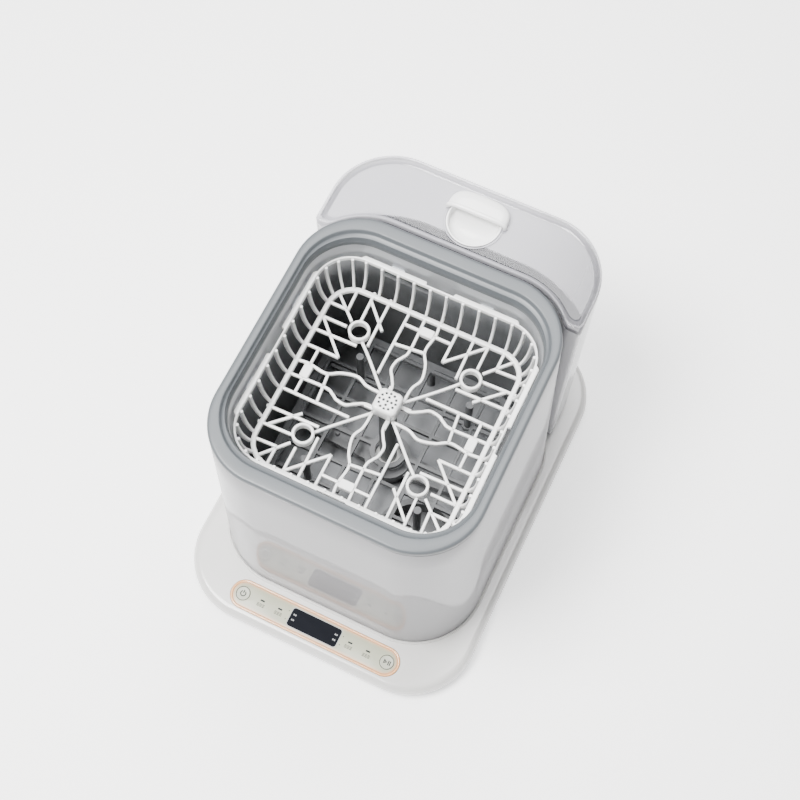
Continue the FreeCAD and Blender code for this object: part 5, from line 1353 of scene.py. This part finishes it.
@dataclass
class SprayCap(Part):
    """Square rose over the riser, with a ring of small holes."""

    half: float = 11.0
    corner: float = 5.0
    low: float = 212.0
    top: float = 226.0
    hole: float = 1.25
    ring: float = 7.4
    holes: int = 12

    def build(self) -> list[bpy.types.Object]:
        """Build the rose and drill it.

        Returns:
            The rose and a dark disc under its holes: painted shade for the hollow behind them.
        """
        outline = Rounded(self.half, self.half, self.corner, centre_y=BODY_Y)
        rows = ((-1.8, self.low), (-0.2, self.low), (0.0, self.low + 0.4), (0.0, self.top - 3.0),
                (-0.3, self.top - 1.5), (-1.2, self.top - 0.5), (-2.6, self.top))
        inside = ((-2.6, self.top - 1.8), (-1.8, self.top - 3.0), (-1.8, self.low + 0.4))
        mesh = Mesh()
        stack(mesh, levels(outline, rows), False)
        count = len(outline.loop())
        mesh.faces.append(tuple(range((len(rows) - 1) * count, len(rows) * count)))
        stack(mesh, levels(outline, inside + rows[:1]), False)
        mesh.faces.append(tuple(range(len(rows) * count, (len(rows) + 1) * count))[::-1])
        made = mesh.piece("rose", "basket", Finish.BASKET)
        angles = np.radians(np.arange(self.holes) * 360 / self.holes)
        places = [(0.0, 0.0)] + [(self.ring * math.cos(a), self.ring * math.sin(a)) for a in angles]
        places += [(self.ring / 2 * math.cos(a), self.ring / 2 * math.sin(a)) for a in angles[::3]]
        drill = Mesh()
        for x, y in places:
            turned(drill, (x, BODY_Y + y), ((0.0, self.top - 4), (self.hole, self.top - 4),
                                            (self.hole, self.top + 2), (0.0, self.top + 2)), 16)
        cut_out(made, [cutter_of(drill)])
        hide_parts("spray_cap")
        # Painted shade: dark disc inside the rose so that its holes read dark.
        dark = Mesh()
        plate(dark, Rounded(8.9, 8.9, 3.4, centre_y=BODY_Y), self.top - 3.6, self.top - 2.1)
        shade = dark.piece("rose_painted_shade", "basket", Finish.DARK)
        return [made, shade]


@dataclass
class WaterTank(Part):
    """Crescent tank that wraps the rear of the wash body, with its lid and grip."""

    half: float = 124.5
    rear: float = 191.0
    corner: float = 58.5
    horn: float = 98.0
    horn_round: float = 4.0
    low: float = 23.4
    top: float = 253.0
    wall: float = 2.5
    lid_top: float = 262.0
    panel: float = 257.0
    front_low: Rounded = Rounded(130.2, 140.0, 68.9, centre_y=BODY_Y)
    front_high: Rounded = Rounded(120.8, 138.7, 59.6, centre_y=BODY_Y)
    grip: tuple[float, float] = (0.0, 157.0)
    hood_half: tuple[float, float] = (28.2, 20.5)
    hood_height: float = 8.0
    hood_wall: float = 2.4
    hood_square: float = 0.62
    hood_steep: float = 0.38
    lip_back: float = 4.5
    coil_wire: float = 1.0
    coil_turns: int = 6
    valve_travel: float = 3.0

    def crescent(self, inset: float, z: float) -> Points:
        """Outline of the crescent at one height, taken in by an inset.

        The rear is a rounded rectangle. The front is the wash body's outline, blended by height between its
        foot and its head and grown by the inset. Each horn is cut off at one Y and its corners are rounded
        by the curve (1 - t)^2 a + 2 t (1 - t) b + t^2 c.

        Args:
            inset: Distance from the outer skin, in millimetres.
            z: Height, in millimetres.

        Returns:
            Loop of points with X, Y and Z, against the clock.
        """
        t = min(max((z - self.low) / (self.top - self.low), 0), 1)
        low, high = self.front_low, self.front_high
        half_x, half_y, radius = ((1 - t) * a + t * b + inset for a, b in (
            (low.half_x, high.half_x), (low.half_y, high.half_y), (low.radius, high.radius)))
        centre = (half_x - radius, BODY_Y + half_y - radius)
        side = self.half - inset
        tip = self.horn + 1.6 * inset
        edge = centre[0] + math.sqrt(radius ** 2 - (tip - centre[1]) ** 2)
        ease = min(self.horn_round, 0.42 * (side - edge))
        meet = math.degrees(math.asin((tip + ease - centre[1]) / radius))
        rear_radius = self.corner - inset
        rear_centre = (side - rear_radius, self.rear - inset - rear_radius)
        right_front = arc(centre, radius, 90, meet, 26)
        share = np.linspace(0, 1, 6)[:, None]

        def eased(*corner: Sequence[float]) -> Points:
            """Rounded corner from the first of three points to the last."""
            a, b, c = (np.array(point) for point in corner)
            return (1 - share) ** 2 * a + 2 * share * (1 - share) * b + share ** 2 * c

        inner_corner = eased(right_front[-1], (edge, tip), (edge + ease, tip))
        outer_corner = eased((side - ease, tip), (side, tip), (side, tip + ease))
        right_rear = arc(rear_centre, rear_radius, 0, 90, 26)
        straight = np.linspace(0, 1, 10)[1:-1, None]
        up = outer_corner[-1] + (right_rear[0] - outer_corner[-1]) * straight
        half = np.concatenate([right_front, inner_corner[1:], outer_corner, up, right_rear])
        mirrored = half[::-1] * (-1, 1)
        across = half[-1] + (mirrored[0] - half[-1]) * straight
        back = mirrored[-1] + (half[0] - mirrored[-1]) * straight
        return lifted(np.concatenate([half, across, mirrored, back]), z)

    def shell(self) -> bpy.types.Object:
        """Open-topped tank with its valve hole.

        Returns:
            The tank.
        """
        w = self.wall
        mesh = Mesh()
        rows = [(1.2, self.low), (0.3, self.low + 0.4), (0.0, self.low + 1.5)]
        rows += [(0.0, z) for z in np.linspace(self.low + 20, self.top - 20, 6)]
        rows += [(0.0, self.top - 0.5), (0.4, self.top - 0.05), (w - 0.4, self.top - 0.05),
                 (w, self.top - 0.5)]
        rows += [(w, z) for z in np.linspace(self.top - 20, self.low + 20, 6)]
        rows += [(w, self.low + w + 1.5), (w + 1.2, self.low + w)]
        stack(mesh, [self.crescent(g, z) for g, z in rows], False, cap=True)
        made = mesh.piece("tank_shell", "tank", Finish.TANK)
        hole = Mesh()
        turned(hole, VALVE_PLACE, ((0.0, 10.0), (11.05, 10.0), (11.05, 30.0), (0.0, 30.0)), 48)
        cut_out(made, [cutter_of(hole)])
        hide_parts("water_tank")
        return made

    def lid(self) -> list[bpy.types.Object]:
        """Lid with a raised lip, a slope and a flat panel, and a collar round its hole for the grip.

        Returns:
            Lid and collar.
        """
        panel, top = self.panel, self.lid_top
        rows = ((9.4, panel - 2.6), (2.7, panel - 2.6), (2.6, self.top), (0.4, self.top),
                (0.0, self.top + 0.4), (0.0, top - 1.3), (0.25, top - 0.5), (0.8, top), (2.1, top),
                (2.6, top - 0.3), (2.9, top - 1.0), (3.1, top - 2.6), (3.9, panel + 1.3),
                (5.4, panel + 0.6), (6.0, panel + 0.1), (6.6, panel))
        mesh = Mesh()
        stack(mesh, [self.crescent(g, z) for g, z in rows], False, cap=True)
        made = mesh.piece("lid_shell", "tank_lid", Finish.LID)
        hole = Mesh()
        turned(hole, self.grip, ((0.0, 240.0), (24.0, 240.0), (24.0, 270.0), (0.0, 270.0)), 72)
        collar = Mesh()
        turned(collar, self.grip, ((24.9, panel - 0.3), (26.9, panel - 0.3), (26.9, panel + 0.3),
                                   (26.5, panel + 0.7), (25.3, panel + 0.7), (24.9, panel + 0.3)), 72, True)
        cut_out(made, [cutter_of(hole)])
        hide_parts("tank_lid")
        ring = collar.piece("grip_collar", "tank_lid", Finish.LID)
        return [made, ring]

    def dish(self) -> bpy.types.Object:
        """Dished disc of the grip.

        Returns:
            The dish.
        """
        mesh = Mesh()
        turned(mesh, self.grip, ((0.0, 248.0), (19.6, 248.2), (22.6, 249.6), (23.7, 252.0), (23.8, 256.9),
                                 (24.4, 257.2), (24.6, 257.7), (24.4, 258.2), (23.8, 258.4), (23.2, 258.3),
                                 (22.7, 257.6), (22.4, 254.4), (21.2, 251.6), (18.4, 250.2), (10.0, 249.8),
                                 (0.0, 249.7)), 72)
        return mesh.piece("grip_dish", "tank_lid", Finish.GRIP)

    def hood(self) -> bpy.types.Object:
        """Squarish half dome over the rear of the dish, open to the front, with a round lip.

        At angle a round the middle and t up the section: x = A c(a) cos(t)^p, y = B s(a) cos(t)^p and
        z = H sin(t)^q, where c and s are the cosine and sine raised to the power q with their signs, p is
        hood_steep and q is hood_square. The inside is the same with the wall taken off.

        Returns:
            The hood.
        """
        t = np.radians(np.linspace(0, 90, 14))
        base = self.panel + 0.9
        front = self.grip[1] + self.lip_back
        sections = []
        for angle in np.radians(np.linspace(0, 180, 61)):
            round_x = math.copysign(abs(math.cos(angle)) ** self.hood_square, math.cos(angle))
            round_y = abs(math.sin(angle)) ** self.hood_square
            skins = []
            for cut in (0.0, self.hood_wall):
                reach = np.cos(t) ** self.hood_steep
                x = (self.hood_half[0] - cut) * round_x * reach
                y = (self.hood_half[1] - cut) * round_y * reach
                z = base + (self.hood_height - cut) * np.sin(t) ** self.hood_square
                skins.append(np.column_stack([x + self.grip[0], y + front, z]))
            sections.append(np.concatenate([skins[0], skins[1][::-1]]))
        mesh = Mesh()
        stack(mesh, sections, False, cap=True)
        turn = np.radians(np.linspace(2, 178, 60))
        lean = np.sign(np.cos(turn)) * np.abs(np.cos(turn)) ** self.hood_steep
        path = np.column_stack([self.grip[0] + (self.hood_half[0] - 1.4) * lean,
                                np.full(len(turn), front + 0.6),
                                base + 6.8 * np.sin(turn) ** self.hood_square - 0.6])
        rib(mesh, path, arc((0, 0), 2.3, 0, 330, 12), (0, 1, 0))
        return mesh.piece("grip_hood", "tank_lid", Finish.GRIP)

    def valve_coil(self) -> bpy.types.Object:
        """Return spring of the valve, a helix that the valve presses up against its top end.

        With u from nought to one, the angle is 2 pi n u for n turns, and the height rises evenly between the
        closed first and last turns.

        Returns:
            The coil.
        """
        low, high = (np.asarray(corner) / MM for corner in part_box("tank_valve_spring"))
        x, y = (low[:2] + high[:2]) / 2
        radius = (high[0] - low[0]) / 2 - self.coil_wire / 2
        share = np.linspace(0, 1, 36 * self.coil_turns + 1)
        angle = 2 * math.pi * self.coil_turns * share
        closed = 1 / self.coil_turns
        rise = np.clip((share - closed) / (1 - 2 * closed), 0, 1)
        bottom, top = low[2] + self.coil_wire / 2, high[2] - self.coil_wire / 2
        path = np.column_stack([x + radius * np.cos(angle), y + radius * np.sin(angle),
                                bottom + rise * (top - bottom)])
        mesh = Mesh()
        rib(mesh, path, arc((0, 0), self.coil_wire / 2, 0, 324, 10), (0, 0, 1))
        made = mesh.piece("valve_coil", "tank", Finish.STEEL, 60)
        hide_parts("tank_valve_spring")
        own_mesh(made)
        return made

    def build(self) -> list[bpy.types.Object]:
        """Build the tank, its lid and the grip.

        Returns:
            Tank, lid, collar, dish, hood and coil.
        """
        dish, hood = self.dish(), self.hood()
        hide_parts("tank_grip")
        # The tank_shelf solid takes the dark finish: painted shade under the lid.
        self.dress({Finish.PALE: "tank_valve_body tank_valve_poppet", Finish.SEAL: "tank_lid_seal",
                    Finish.SHELF: "tank_shelf"})
        return [self.shell(), *self.lid(), dish, hood, self.valve_coil()]


@dataclass
class Studio:
    """Floor, lights and the camera."""

    lens: float = 60.34
    place: tuple[float, float, float] = (0.1958, -0.4058, 1.2667)
    right: tuple[float, float, float] = (0.90135, 0.43309, 0.00312)
    up: tuple[float, float, float] = (-0.40025, 0.83022, 0.38798)
    back: tuple[float, float, float] = (0.16544, -0.35095, 0.92166)
    middle: tuple[float, float, float] = (0.0, 0.0, 0.12)

    def camera(self) -> None:
        """Camera at the photograph's angle."""
        data = bpy.data.cameras.new("camera")
        data.lens = self.lens
        data.clip_start = 0.05
        made = bpy.data.objects.new("camera", data)
        axes = Matrix((self.right, self.up, self.back)).transposed().to_4x4()
        made.matrix_world = Matrix.Translation(self.place) @ axes
        bpy.context.scene.collection.objects.link(made)
        bpy.context.scene.camera = made

    def light(self, name: str, place: tuple[float, float, float], size: tuple[float, float], power: float,
              colour: Colour = (1.0, 1.0, 1.0)) -> None:
        """Soft box that faces the middle of the washer.

        Args:
            name: Name of the light.
            place: Where it stands, in metres.
            size: Width and height, in metres.
            power: Power in watts.
            colour: Colour of its light.
        """
        data = bpy.data.lights.new(name, "AREA")
        data.shape = "RECTANGLE"
        data.size, data.size_y = size
        data.energy = power
        data.color = colour
        made = bpy.data.objects.new(name, data)
        aim = (Vector(self.middle) - Vector(place)).to_track_quat("-Z", "Y").to_matrix().to_4x4()
        made.matrix_world = Matrix.Translation(place) @ aim
        bpy.context.scene.collection.objects.link(made)

    def floor(self) -> None:
        """Pale floor under everything."""
        mesh = bpy.data.meshes.new("floor")
        side = 6.0
        mesh.from_pydata([(-side, -side, 0), (side, -side, 0), (side, side, 0), (-side, side, 0)], [],
                         [(0, 1, 2, 3)])
        mesh.materials.append(Graph("floor_white").finish(
            Base_Color=(0.95, 0.95, 0.95), Roughness=0.8, Emission_Color=(1.0, 1.0, 1.0),
            Emission_Strength=1.1))
        made = bpy.data.objects.new("floor", mesh)
        bpy.context.scene.collection.objects.link(made)

    def build(self) -> None:
        """Set up the camera, the floor, the lights and the surrounding light."""
        self.camera()
        self.floor()
        self.light("key", (-0.62, -0.52, 1.97), (0.9, 0.9), 125.0, (1.0, 0.99, 0.975))
        self.light("top", (-0.1, 0.75, 2.0), (1.2, 1.2), 55.0)
        world = bpy.data.worlds.new("studio")
        world.use_nodes = True
        world.node_tree.nodes["Background"].inputs["Color"].default_value = (1.0, 1.0, 1.0, 1.0)
        world.node_tree.nodes["Background"].inputs["Strength"].default_value = 0.3
        bpy.context.scene.world = world


def main() -> None:
    """Build the studio and every sub-assembly."""
    logging.basicConfig(level=logging.INFO, format="%(message)s")
    Studio().build()
    for part in (Base(), ControlPanel(), WashBody(), Basket(), SprayCap(), WaterTank()):
        pieces = part.build()
        LOG.info("%s: %d pieces", type(part).__name__, len(pieces))


if __name__ == "__main__":
    main()
